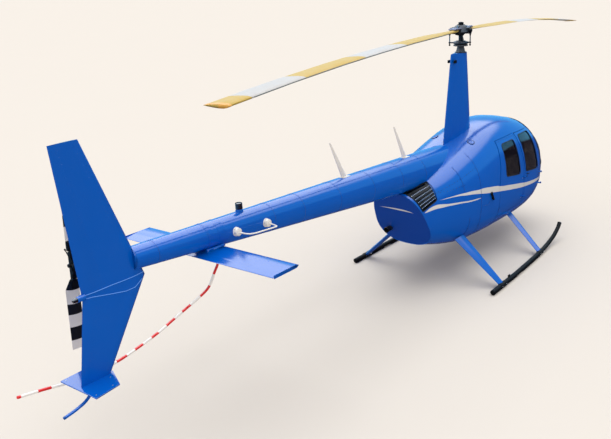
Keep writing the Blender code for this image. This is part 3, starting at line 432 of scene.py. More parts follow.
# Quarter-turn screws whose blue has worn off to dark plating; the fuel caps' rings take the same dark as a painted
# shadow round each cap
DARK_SCREW_AND_SHADOW = Finish("dark_plated_screw_and_painted_shadow", "0A1F45", Slot.BLACK, roughness=0.45, metallic=0.3, grain=0.1)
# Perforated aluminium, bright at its punched edges
BRIGHT_METAL = Brushed("perforated_aluminium_bright", "C8CCD2", Slot.ROTOR, roughness=0.45, metallic=0.8, grain=0.1)
# Hard-anodised forging: charcoal with a soft metallic sheen
ANODISED = Brushed("hard_anodised_aluminium", "34363A", Slot.ROTOR, roughness=0.42, metallic=0.75, grain=0.12)
# The blade grips' upper plates: aluminium whose pale lilac is a painted highlight of the light on their upper faces
LILAC_HIGHLIGHT_PLATE = Brushed("aluminium_painted_lilac_highlight", "86849A", Slot.ROTOR, roughness=0.35, metallic=0.7, grain=0.12)
# Turned steel of shafts, bolts and rod ends
STEEL = Brushed("turned_steel", "9A9B9E", Slot.ROTOR, roughness=0.28, metallic=1.0, grain=0.1)
# Sand-cast magnesium of the gearbox, painted grey: a pitted skin
CAST = Finish(
    "sand_cast_magnesium_grey", "4A4C4F", Slot.ROTOR, roughness=0.55, metallic=0.4, grain_mm=2.5, grain=0.35)
# Cast iron of the engine, seen only through gaps
CAST_IRON = Finish("cast_iron_engine", "3A3A3B", Slot.ENGINE, roughness=0.7, metallic=0.6, grain_mm=3, grain=0.4)
# Stainless steel exhaust, coloured by heat, and the soot inside it
EXHAUST = HeatSteel("stainless_steel_heat_dulled", "8E8A84", Slot.EXHAUST, roughness=0.38, metallic=1.0, grain=0.05)
SOOT = Finish("soot", "080707", Slot.EXHAUST, roughness=0.95, grain_mm=2, grain=0.3)
# Epoxy paint on the rotor blades, in bands
BLADE = BandedPaint("epoxy_paint_main_blade", "E9B84F", Slot.MAIN_BLADE, roughness=0.5, specular=0.15, tone=0.04,
                    tone_mm=500, grain=0.03, centre=(0.0, 0.0, 3.225), radius=5.2,
                    bands=((0.0, "A88F48"), (1.82, "A9A9A9"), (2.78, "A88F48"), (3.88, "A9A9A9"), (4.71, "A88F48")))
TAIL_BLADE = BandedPaint(
    "epoxy_paint_tail_blade", "121213", Slot.TAIL_BLADE, roughness=0.42, tone=0.04, grain=0.03,
    centre=(0.43, 5.951, 1.82), radius=1.0, bands=((0.0, "101011"), (0.212, "D2CFCB"), (0.333, "101011"),
                                                   (0.426, "D2CFCB"), (0.538, "101011"), (0.655, "D2CFCB")))
# Bonded steel strip along a blade's nose, dulled by sand
NOSE_STRIP = Brushed("abrasion_strip_steel", "6E6A62", Slot.ROTOR, roughness=0.4, metallic=0.9, grain=0.1)
OCHRE = Finish("epoxy_paint_blade_cap", "B8862F", Slot.MAIN_BLADE, roughness=0.5, grain=0.05)
# Gloss enamel bands of the tail guard
GUARD = GuardPaint(
    "gloss_enamel_red_white", "D8231C", Slot.GUARD, roughness=0.3, coat=0.3, tone=0.03, grain=0.02,
    bands=((0.170, 0.283), (0.405, 0.540), (0.670, 0.762), (0.858, 0.955), (1.060, 1.142), (1.240, 1.337),
           (1.428, 1.540), (1.680, 1.785), (1.920, 2.030), (2.190, 2.311), (2.464, 2.590)))
# Moulded glass-fibre radomes and antenna masts, gelcoated white
WHITE = Finish("gelcoat_white", "DAD8D4", Slot.WHITE, roughness=0.3, tone=0.03, grain_mm=6, grain=0.03)
LENS = Finish("polycarbonate_lens_clear", "E8E6E0", Slot.WHITE, roughness=0.08, ior=1.58, transmission=0.6, tone=0.01,
              grain=0.0)
DARK_LENS = Finish(
    "polycarbonate_lens_dark_red", "160607", Slot.BLACK, roughness=0.12, ior=1.58, coat=0.5, tone=0.02, grain=0.0)
# Moulded ABS trim with a fine leather-like texture
TRIM = Finish("moulded_abs_trim", "3B3C3E", Slot.TRIM, roughness=0.62, grain_mm=2, grain=0.25)
CONSOLE = Finish("moulded_abs_console", "1A1A1B", Slot.BLACK, roughness=0.55, grain_mm=2, grain=0.25)
DIAL = Finish("dial_glass", "0A0A0B", Slot.BLACK, roughness=0.05, coat=1.0, tone=0.01, grain=0.0)
DIAL_MARK = Finish("dial_marking_enamel", "E4E2DA", Slot.WHITE, roughness=0.5, tone=0.01, grain=0.0)
CARPET = Carpet("looped_carpet", "2B2C2F", Slot.TRIM, roughness=0.95, sheen=0.3)
LEATHER = Leather("coated_seat_leather", "4A4541", Slot.LEATHER, roughness=0.5, sheen=0.1, tone=0.08, tone_mm=180)
PIPING = Finish("leather_piping", "2A2624", Slot.LEATHER, roughness=0.55, grain_mm=2, grain=0.15)
WEBBING = Brushed("woven_polyester_webbing", "17181A", Slot.BLACK, roughness=0.8, grain=0.5, stretch=(1.0, 8.0, 8.0))
FLOOR = Finish("plain_painted_floor", "C9C6C2", roughness=0.9, specular=0.0, tone=0.004, tone_mm=4000, grain=0.0)


# ---- Shapes


@dataclass(frozen=True)
class Hull:
    """The body's skin as the part's source has it: sections by station, and its normals."""

    rows: tuple[tuple[float, ...], ...] = (
        (-2.325, 0.072, 0.884, 0.970, 1.040), (-2.270, 0.197, 0.776, 0.970, 1.172),
        (-2.150, 0.332, 0.676, 0.970, 1.318), (-1.950, 0.454, 0.572, 0.975, 1.482),
        (-1.700, 0.556, 0.482, 0.985, 1.645), (-1.400, 0.631, 0.412, 0.990, 1.805),
        (-1.050, 0.656, 0.376, 1.000, 1.898), (-0.650, 0.654, 0.373, 1.000, 1.940),
        (-0.200, 0.646, 0.386, 1.000, 1.905), (0.150, 0.638, 0.398, 1.000, 1.833),
        (0.480, 0.616, 0.416, 1.005, 1.745), (0.820, 0.572, 0.459, 1.010, 1.652), (1.120, 0.504, 0.535, 1.015, 1.555),
        (1.365, 0.439, 0.612, 1.000, 1.490), (1.600, 0.378, 0.712, 0.980, 1.436), (1.850, 0.325, 0.848, 0.980, 1.384))
    power: float = 2.65
    face_y: float = 1.750
    face_z: float = 1.375
    face_slope: float = 0.502

    def section(self, y: float) -> tuple[float, float, float, float]:
        """Returns half width, belly height, widest height and top height at a station."""
        rows, last = self.rows, len(self.rows) - 2
        at = min(max(sum(1 for row in rows if row[0] <= y) - 1, 0), last)
        low, high, before, after = rows[at], rows[at + 1], rows[max(at - 1, 0)], rows[min(at + 2, last + 1)]
        span = high[0] - low[0]
        t = (y - low[0]) / span
        out = []
        for column in range(1, 5):
            first = (high[column] - before[column]) / (high[0] - before[0]) * span
            second = (after[column] - low[column]) / (after[0] - low[0]) * span
            out.append((2 * t ** 3 - 3 * t ** 2 + 1) * low[column] + (t ** 3 - 2 * t ** 2 + t) * first
                       + (3 * t ** 2 - 2 * t ** 3) * high[column] + (t ** 3 - t ** 2) * second)
        return tuple(out)

    def depth(self, p: Point) -> float:
        """Returns 1 on the skin, less inside it and more outside."""
        half, low, wide, top = self.section(p[1])
        reach = top - wide if p[2] > wide else wide - low
        return (abs(p[0]) / half) ** self.power + (abs(p[2] - wide) / reach) ** self.power

    def normal(self, p: Point) -> Vector:
        """Returns the skin's outward direction near a point."""
        step = 0.002
        slopes = []
        for axis in range(3):
            shift = Vector([step if axis == n else 0.0 for n in range(3)])
            slopes.append(self.depth(Vector(p) + shift) - self.depth(Vector(p) - shift))
        return Vector(slopes).normalized()

    def facing(self, points: Iterable[Vector]) -> list[tuple[Vector, Vector]]:
        """Returns points of the skin, each with its outward direction."""
        return [(point, self.normal(point)) for point in points]

    def side(self, y: float, z: float, sign: int, out: float = 0.0) -> Vector:
        """Returns the point of the skin at a station and height, moved out along its normal."""
        half, low, wide, top = self.section(y)
        reach = top - wide if z > wide else wide - low
        share = min(abs(z - wide) / reach, 0.999)
        point = Vector((sign * half * (1 - share ** self.power) ** (1 / self.power), y, z))
        return point + self.normal(point) * out

    def roof(self, x: float, y: float, out: float = 0.0) -> Vector:
        """Returns the point of the roof at a place seen from above, moved out along its normal."""
        half, _low, wide, top = self.section(y)
        point = Vector((x, y, wide + (top - wide) * (1 - (abs(x) / half) ** self.power) ** (1 / self.power)))
        return point + self.normal(point) * out

    def ring(self, y: float, low: float, high: float, out: float, count: int, slanted: bool = False) -> list[Vector]:
        """Returns points round the skin at a station, between two angles from the left side in degrees.

        Args:
            y: The station.
            low: The first angle, 0 at the left side and 90 on top.
            high: The last angle.
            out: How far out of the skin the points stand.
            count: How many points.
            slanted: Whether the ring follows the slanted aft face in place of the station.
        """
        points = []
        for step in range(count):
            angle = math.radians(low + (high - low) * step / max(count - 1, 1))
            c, s = math.cos(angle), math.sin(angle)
            station = y
            for _ in range(6 if slanted else 1):
                half, belly, wide, top = self.section(station)
                reach = top - wide if s > 0 else wide - belly
                z = wide + reach * math.copysign(abs(s) ** (2 / self.power), s)
                if slanted:
                    station = self.face_y + (z - self.face_z) * self.face_slope + y
            point = Vector((half * math.copysign(abs(c) ** (2 / self.power), c), station, z))
            points.append(point + self.normal(point) * out)
        return points


HULL = Hull()


def placed(name: str, data: bpy.types.ID) -> Piece:
    """Returns a new object of some data, in the scene."""
    obj = bpy.data.objects.new(name, data)
    bpy.context.scene.collection.objects.link(obj)
    return obj


class Form:
    """A mesh being shaped, and the few steps that most pieces share."""

    def __init__(self) -> None:
        """Starts an empty mesh."""
        self.bm = bmesh.new()

    def soften(self, faces: Iterable[bmesh.types.BMFace], width: float, angle: float = 40.0,
               segments: int = 2) -> None:
        """Bevels the sharp edges of some faces."""
        if not width:
            return
        edges = {edge for face in faces for edge in face.edges if edge.is_manifold
                 and edge.calc_face_angle(0.0) > math.radians(angle)}
        bmesh.ops.bevel(
            self.bm, geom=list(edges), offset=width, affect="EDGES", segments=segments, profile=0.5, material=-1)

    def rod(self, start: Point, end: Point, radius: float, end_radius: float | None = None, sides: int = 24,
            bevel: float = 0.0) -> "Form":
        """Adds a rod or cone between two points."""
        start, end = Vector(start), Vector(end)
        turn = (end - start).to_track_quat("Z", "Y").to_matrix().to_4x4()
        out = bmesh.ops.create_cone(
            self.bm, cap_ends=True, segments=sides, radius1=radius,
            radius2=radius if end_radius is None else end_radius, depth=(end - start).length,
            matrix=Matrix.Translation((start + end) / 2) @ turn)
        self.soften({face for vert in out["verts"] for face in vert.link_faces}, bevel)
        return self

    def block(self, low: Point, high: Point, bevel: float = 0.0, turn: Matrix | None = None) -> "Form":
        """Adds a box between two corners, turned about its middle."""
        low, high = Vector(low), Vector(high)
        place = Matrix.Translation((low + high) / 2) @ (turn.to_4x4() if turn else Matrix.Identity(4))
        out = bmesh.ops.create_cube(self.bm, size=1.0, matrix=place @ Matrix.Diagonal((*(high - low), 1.0)))
        self.soften({face for vert in out["verts"] for face in vert.link_faces}, bevel)
        return self

    def prism(self, outline: Iterable[Point], along: Point, bevel: float = 0.0) -> "Form":
        """Adds a flat outline, given a thickness along a direction."""
        face = self.bm.faces.new([self.bm.verts.new(point) for point in outline])
        out = bmesh.ops.extrude_face_region(self.bm, geom=[face], use_keep_orig=True)
        moved = [item for item in out["geom"] if isinstance(item, bmesh.types.BMVert)]
        bmesh.ops.translate(self.bm, verts=moved, vec=along)
        self.soften({f for vert in moved for f in vert.link_faces}, bevel)
        return self

    def lathe(self, profile: Iterable[tuple[float, float]], centre: Point, axis: Point = (0, 0, 1), steps: int = 32,
              degrees: float = 360.0, start: float = 0.0) -> "Form":
        """Adds a turned shape.

        Args:
            profile: Radius and height along the axis of each point.
            centre: The point that the heights start from.
            axis: The axis.
            steps: How many steps the turn has.
            degrees: How far it turns.
            start: Where the turn starts, in degrees.
        """
        turn = Vector(axis).to_track_quat("Z", "Y").to_matrix().to_4x4()
        place = Matrix.Translation(centre) @ turn @ Matrix.Rotation(math.radians(start), 4, "Z")
        verts = [self.bm.verts.new(place @ Vector((radius, 0.0, height))) for radius, height in profile]
        edges = [self.bm.edges.new(pair) for pair in zip(verts, verts[1:])]
        bmesh.ops.spin(self.bm, geom=verts + edges, cent=centre, axis=Vector(axis).normalized(), dvec=(0, 0, 0),
                       angle=math.radians(degrees), steps=steps, use_merge=degrees == 360.0, use_duplicate=False)
        bmesh.ops.remove_doubles(self.bm, verts=self.bm.verts, dist=MERGE)
        return self

    def ball(self, centre: Point, radius: float, size: Point = (1, 1, 1)) -> "Form":
        """Adds a ball, stretched along its axes."""
        bmesh.ops.create_uvsphere(self.bm, u_segments=16, v_segments=10, radius=radius,
                                  matrix=Matrix.Translation(centre) @ Matrix.Diagonal((*size, 1.0)))
        return self

    def tube(self, points: Sequence[Point], radius: float, closed: bool = False, sides: int = 2) -> "Form":
        """Adds a round tube along points."""
        curve = bpy.data.curves.new("path", "CURVE")
        curve.dimensions, curve.bevel_depth, curve.bevel_resolution = "3D", radius, sides
        curve.use_fill_caps = not closed
        spline = curve.splines.new("POLY")
        spline.points.add(len(points) - 1)
        for point, place in zip(spline.points, points):
            point.co = (*place, 1.0)
        spline.use_cyclic_u = closed
        guide = placed("path", curve)
        mesh = bpy.data.meshes.new_from_object(guide.evaluated_get(bpy.context.evaluated_depsgraph_get()))
        self.bm.from_mesh(mesh)
        bpy.data.objects.remove(guide, do_unlink=True)
        bpy.data.curves.remove(curve)
        bpy.data.meshes.remove(mesh)
        bmesh.ops.remove_doubles(self.bm, verts=self.bm.verts, dist=MERGE)
        return self

    def studs(self, places: Iterable[tuple[Vector, Vector]], radius: float, height: float, sides: int = 8) -> "Form":
        """Adds a small domed head at each place, along its normal."""
        for point, normal in places:
            self.rod(point - normal * height * 0.3, point + normal * height, radius, radius * 0.55, sides)
        return self

    def copy(self, node: str) -> "Form":
        """Adds the merged mesh of a CAD node."""
        self.bm.from_mesh(frame["nodes"][node].data)
        bmesh.ops.translate(self.bm, verts=self.bm.verts, vec=-MAST)
        bmesh.ops.remove_doubles(self.bm, verts=self.bm.verts, dist=MERGE)
        return self

    def ribbon(self, path: Sequence[Point], across: Point, thick: float) -> "Form":
        """Adds a flat strip along points, as wide as a vector across it, with a thickness."""
        half = Vector(across) / 2
        verts = [self.bm.verts.new(Vector(point) - half) for point in path]
        edges = [self.bm.edges.new(pair) for pair in zip(verts, verts[1:])]
        out = bmesh.ops.extrude_edge_only(self.bm, edges=edges)["geom"]
        moved = [item for item in out if isinstance(item, bmesh.types.BMVert)]
        bmesh.ops.translate(self.bm, verts=moved, vec=half * 2)
        faces = [item for item in out if isinstance(item, bmesh.types.BMFace)]
        bmesh.ops.recalc_face_normals(self.bm, faces=faces)
        bmesh.ops.solidify(self.bm, geom=faces, thickness=thick)
        return self

    def kept(self, point: Point, direction: Point) -> "Form":
        """Keeps what lies beyond a plane, and closes the cut."""
        geom = [*self.bm.verts, *self.bm.edges, *self.bm.faces]
        out = bmesh.ops.bisect_plane(self.bm, geom=geom, plane_co=point, plane_no=direction, clear_inner=True)
        cut = [item for item in out["geom_cut"] if isinstance(item, bmesh.types.BMEdge)]
        bmesh.ops.holes_fill(self.bm, edges=cut)
        return self

    def turned(self, angle: float, axis: str, centre: Point) -> "Form":
        """Turns the shape by an angle in degrees about an axis through a point."""
        bmesh.ops.rotate(
            self.bm, verts=self.bm.verts, cent=centre, matrix=Matrix.Rotation(math.radians(angle), 3, axis))
        return self

    def finish(self, name: str, finish: Finish, replaces: Sequence[str] = (), smooth: float = 35.0,
               body: Body = Body.AIRFRAME, slot: Slot | None = None, hull: bool = False,
               keep_faces: bool = False) -> Piece:
        """Makes the piece's object at its place and says what it rides on.

        Args:
            name: The piece's name.
            finish: Its finish.
            replaces: The CAD nodes that it stands for.
            smooth: Edges sharper than this many degrees stay sharp.
            body: The body that it rides on.
            slot: Its slot in the record, where that isn't the finish's own. It is not used.
            hull: Whether its large faces take the body's own normals.
            keep_faces: Whether its faces already point the right way.

        Returns:
            The object.
        """
        slot = slot or finish.slot
        if not keep_faces:
            bmesh.ops.recalc_face_normals(self.bm, faces=self.bm.faces)
        bmesh.ops.translate(self.bm, verts=self.bm.verts, vec=MAST)
        mesh = bpy.data.meshes.new(name)
        self.bm.to_mesh(mesh)
        self.bm.free()
        mesh.shade_smooth()
        mesh.set_sharp_from_angle(angle=math.radians(smooth))
        if hull:
            smooth_on_hull(mesh)
        obj = placed(name, mesh)
        if not hull:
            obj.modifiers.new("flat_faces_stay_flat", "WEIGHTED_NORMAL").keep_sharp = True
        mesh.materials.append(finish.material())
        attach(obj, body.value)
        if replaces:
            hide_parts(*replaces)
        log.info("%s: %d faces, rides on %s", name, len(mesh.polygons), body.value)
        return obj


def smooth_on_hull(mesh: bpy.types.Mesh) -> None:
    """Gives the corners of faces that lie along the body the body's own normals."""
    normals = []
    for polygon in mesh.polygons:
        for at in polygon.vertices:
            point = mesh.vertices[at].co - MAST
            normal = Vector(polygon.normal)
            if HULL.rows[0][0] < point.y < HULL.rows[-1][0] and 0.5 < HULL.depth(point) < 1.3:
                skin = HULL.normal(point)
                if abs(skin.dot(normal)) > 0.88:
                    normal = skin if skin.dot(normal) > 0 else -skin
            elif point.y <= HULL.rows[0][0]:
                normal = (normal + Vector((0.0, -3.0, 0.0))).normalized()
            normals.append(normal)
    mesh.normals_split_custom_set(normals)


class Surface:
    """The surface of a CAD node, for dropping small fittings on it."""

    def __init__(self, node: str) -> None:
        """Reads the node's mesh."""
        self.form = Form().copy(node)
        self.tree = BVHTree.FromBMesh(self.form.bm)

    def drop(self, start: Point, direction: Point) -> tuple[Vector, Vector]:
        """Returns the point and normal where a line from a point meets the surface.

        Raises:
            ValueError: The line misses the node.
        """
        point, normal, _face, _far = self.tree.ray_cast(Vector(start), Vector(direction).normalized())
        if point is None:
            raise ValueError(f"nothing along {direction} from {start}")
        return point, normal if normal.dot(Vector(direction)) < 0 else -normal


def spaced(points: Sequence[Point], pitch: float) -> list[Vector]:
    """Returns points a pitch apart along a line of points."""
    path = [Vector(point) for point in points]
    length = sum((b - a).length for a, b in zip(path, path[1:]))
    count = max(int(length / pitch), 1)
    out, at, gone = [], 0, 0.0
    for step in range(count + 1):
        want = length * step / count
        while at < len(path) - 2 and gone + (path[at + 1] - path[at]).length < want:
            gone += (path[at + 1] - path[at]).length
            at += 1
        span = (path[at + 1] - path[at]).length
        out.append(path[at].lerp(path[at + 1], min((want - gone) / span, 1.0)))
    return out


def rounded(outline: Sequence[Point], radius: float, steps: int = 5) -> list[Vector]:
    """Returns an outline whose corners are rounded by short curves."""
    points = [Vector(point) for point in outline]
    out = []
    for before, corner, after in zip(points[-1:] + points[:-1], points, points[1:] + points[:1]):
        start = corner + (before - corner).normalized() * radius
        end = corner + (after - corner).normalized() * radius
        for step in range(steps + 1):
            t = step / steps
            out.append(start.lerp(corner, t).lerp(corner.lerp(end, t), t))
    return out


def smooth_path(points: Sequence[Point], steps: int = 6) -> list[Vector]:
    """Returns points of a smooth curve through the given ones."""
    path, points = [], [Vector(point) for point in points]
    for at in range(len(points) - 1):
        before, low = points[max(at - 1, 0)], points[at]
        high, after = points[at + 1], points[min(at + 2, len(points) - 1)]
        for step in range(steps):
            t = step / steps
            path.append(0.5 * (2 * low + (high - before) * t + (2 * before - 5 * low + 4 * high - after) * t ** 2
                               + (3 * low - before - 3 * high + after) * t ** 3))
    return path + [points[-1]]


def fractions(low: float, high: float, count: int) -> list[float]:
    """Returns evenly spaced values from one to another."""
    return [low + (high - low) * step / (count - 1) for step in range(count)]


def angles(count: int) -> list[float]:
    """Returns evenly spaced angles once round, in radians."""
    return [2 * math.pi * step / count for step in range(count)]


def tree_of(obj: Piece) -> BVHTree:
    """Returns the search tree of an object's shape with its modifiers."""
    return BVHTree.FromObject(obj, bpy.context.evaluated_depsgraph_get())


# ---- Sub-assemblies


@dataclass
class Skins:
    """The CAD nodes whose shape stays: each gets a merged, smooth copy in its own finish."""

    painted: tuple[str, ...] = (
        "cabin_shell", "engine_cowl", "front_door_right", "front_door_left", "rear_door_right", "rear_door_left")
    glazed: tuple[str, ...] = (
        "windshield_right", "windshield_left", "front_door_right_window", "front_door_left_window",
        "rear_door_right_window", "rear_door_left_window")
    plain: dict[str, tuple[Finish, float]] = field(
        default_factory=lambda: {**{name: (BLUE, 60.0) for name in ("tail_boom", "mast_fairing", "upper_fin",
                                                                    "lower_fin", "stabilizer", "fin_end_plate",
                                                                    "tail_skid", "strut_front_right",
                                                                    "strut_front_left", "strut_rear_right",
                                                                    "strut_rear_left")},
                                 "aft_cowl_panel": (SHADED_BLUE_PANEL, 30.0), "skid_right": (SKID_BLACK, 50.0),
                                 "skid_left": (SKID_BLACK, 50.0), "louvre_right": (SATIN_BLACK, 30.0),
                                 "louvre_left": (SATIN_BLACK, 30.0), "main_blade_near": (BLADE, 60.0),
                                 "main_blade_far": (BLADE, 60.0), "tail_blade_upper": (TAIL_BLADE, 60.0),
                                 "tail_blade_lower": (TAIL_BLADE, 60.0), "antenna_aft": (WHITE, 60.0),
                                 "antenna_fore": (WHITE, 60.0), "nav_antenna_right": (WHITE, 50.0),
                                 "nav_antenna_left": (WHITE, 50.0), "console": (CONSOLE, 30.0),
                                 "cyclic_stick": (SATIN_BLACK, 50.0), "cabin_floor": (CARPET, 30.0),
                                 "rear_bulkhead": (TRIM, 30.0), "engine_block": (CAST_IRON, 30.0)})

    def build(self) -> None:
        """Makes the copies."""
        bodies = {
            node: Body(body) for body, nodes in frame["record"]["behaviour"]["bodies"].items() for node in nodes}
        for node in self.painted:
            copy = Form().copy(node).finish(
                f"{node}_skin", BLUE_STRIPED, [node], body=bodies[node], hull=True, keep_faces=True)
            self.line(copy)
        for node in self.glazed:
            Form().copy(node).finish(f"{node}_pane", ACRYLIC, [node], body=bodies[node], hull=True, keep_faces=True)
        for node, (finish, smooth) in self.plain.items():
            Form().copy(node).finish(f"{node}_skin", finish, [node], smooth, body=bodies[node], keep_faces=True)

    def line(self, skin: Piece) -> None:
        """Gives the faces that look into the body the moulded trim."""
        skin.data.materials.append(TRIM.material())
        for polygon in skin.data.polygons:
            point = polygon.center - MAST
            if HULL.depth(point) < 0.99 and polygon.normal.dot(HULL.normal(point)) < -0.5:
                polygon.material_index = 1


@dataclass
class Glazing:
    """Rubber beads that hold the panes, and the strip down the windshields' middle post."""

    front: tuple[Point, ...] = ((-1.385, 1.085), (-1.228, 1.680), (-0.805, 1.695), (-0.885, 1.145))
    rear: tuple[Point, ...] = ((-0.690, 1.150), (-0.625, 1.670), (-0.250, 1.665), (-0.225, 1.215))
    corner: float = 0.05
    bead: float = 0.0050
    post: float = 0.018
    lower_y: tuple[float, float] = (-2.290, -1.640)
    roof_y: float = -1.343

    def build(self) -> None:
        """Makes the beads of the doors' windows and of both windshields."""
        for side, sign in SIDES.items():
            for place, outline in (("front", self.front), ("rear", self.rear)):
                loop = spaced([*(path := rounded([(0.0, *p) for p in outline], self.corner)), path[0]], 0.02)
                points = [HULL.side(p.y, p.z, sign, -0.0015) for p in loop[:-1]]
                Form().tube(points, self.bead, closed=True).finish(
                    f"{place}_door_{side}_window_bead", RUBBER, body=Body(f"{place}_door_{side}"))
            Form().tube(self.windshield(sign), self.bead, closed=True).finish(f"windshield_{side}_bead", RUBBER)
        for side, sign in SIDES.items():
            bolts = [(HULL.roof(sign * 0.008, -1.42 - 0.075 * step), Vector((0.0, -0.5, 1.0)).normalized())
                     for step in range(10)]
            Form().studs(bolts, 0.0035, 0.002).finish(f"post_screws_{side}", STEEL)

    def windshield(self, sign: int) -> list[Vector]:
        """Returns the loop round one windshield."""
        low, high = self.lower_y
        lower = [HULL.side(y, 1.060 + (high - y) * 0.042, sign) for y in fractions(low, high, 14)]
        rise = [HULL.side(y, 1.060 + (y - high) / 0.280 * 0.675, sign) for y in fractions(high, -1.360, 12)[1:]]
        roof = [HULL.roof(sign * x, self.roof_y) for x in fractions(0.40, self.post, 10)]
        post = [HULL.roof(sign * self.post, y) for y in fractions(self.roof_y, low, 18)[1:]]
        return lower + rise + roof + post


@dataclass
class DoorFittings:
    """The front doors' levers and locks, the inner pulls and hinge screws, and the rear doors' screw rows."""

    levers: dict[str, tuple[float, float]] = field(
        default_factory=lambda: {"front": (-0.940, 1.100), "rear": (-0.120, 1.075)})
    row_top: tuple[Point, ...] = ((-0.640, 1.712), (-0.400, 1.715), (-0.190, 1.702))
    hinges: dict[str, tuple[float, tuple[float, ...]]] = field(
        default_factory=lambda: {"front": (-1.525, (0.800, 0.980)), "rear": (-0.795, (0.780, 1.080))})

    def build(self) -> None:
        """Makes the fittings of each door."""
        for side, sign in SIDES.items():
            for place, (y, z) in self.levers.items():
                body = Body(f"{place}_door_{side}")
                if place == "front":
                    lever = [HULL.side(y + along, z + 0.10 * along, sign, 0.010) for along in (-0.035, 0.0, 0.030)]
                    form = Form().tube(lever, 0.0065).ball(lever[0], 0.0075).ball(lever[-1], 0.0085)
                    lock, normal = HULL.side(y + 0.022, z - 0.040, sign), HULL.normal(HULL.side(y, z, sign))
                    form.rod(lock - normal * 0.002, lock + normal * 0.005, 0.009, sides=20, bevel=0.001)
                    form.finish(f"{place}_door_{side}_lever", SATIN_BLACK, body=body)
                inner = [HULL.side(y + along, z - 0.02, sign, -0.034 - 0.02 * bow) for along, bow in ((-0.16, 0),
                                                                                                      (-0.15, 1),
                                                                                                      (-0.05, 1),
                                                                                                      (-0.04, 0))]
                Form().tube(inner, 0.006).finish(f"{place}_door_{side}_pull", SATIN_BLACK, body=body)
                station, heights = self.hinges[place]
                screws = [
                    HULL.side(station + step, height - 0.012, sign) for height in heights for step in (0.012, 0.036)]
                Form().studs(HULL.facing(screws), 0.004, 0.002).finish(
                    f"{place}_door_{side}_hinge_screws", STEEL, body=body)
            row = spaced([(0.0, *p) for p in self.row_top], 0.046)
            heads = [HULL.side(p.y, p.z, sign) for p in row]
            Form().studs(HULL.facing(heads), *SCREW).finish(
                f"rear_door_{side}_screw_row", DARK_SCREW_AND_SHADOW, body=Body(f"rear_door_{side}"))


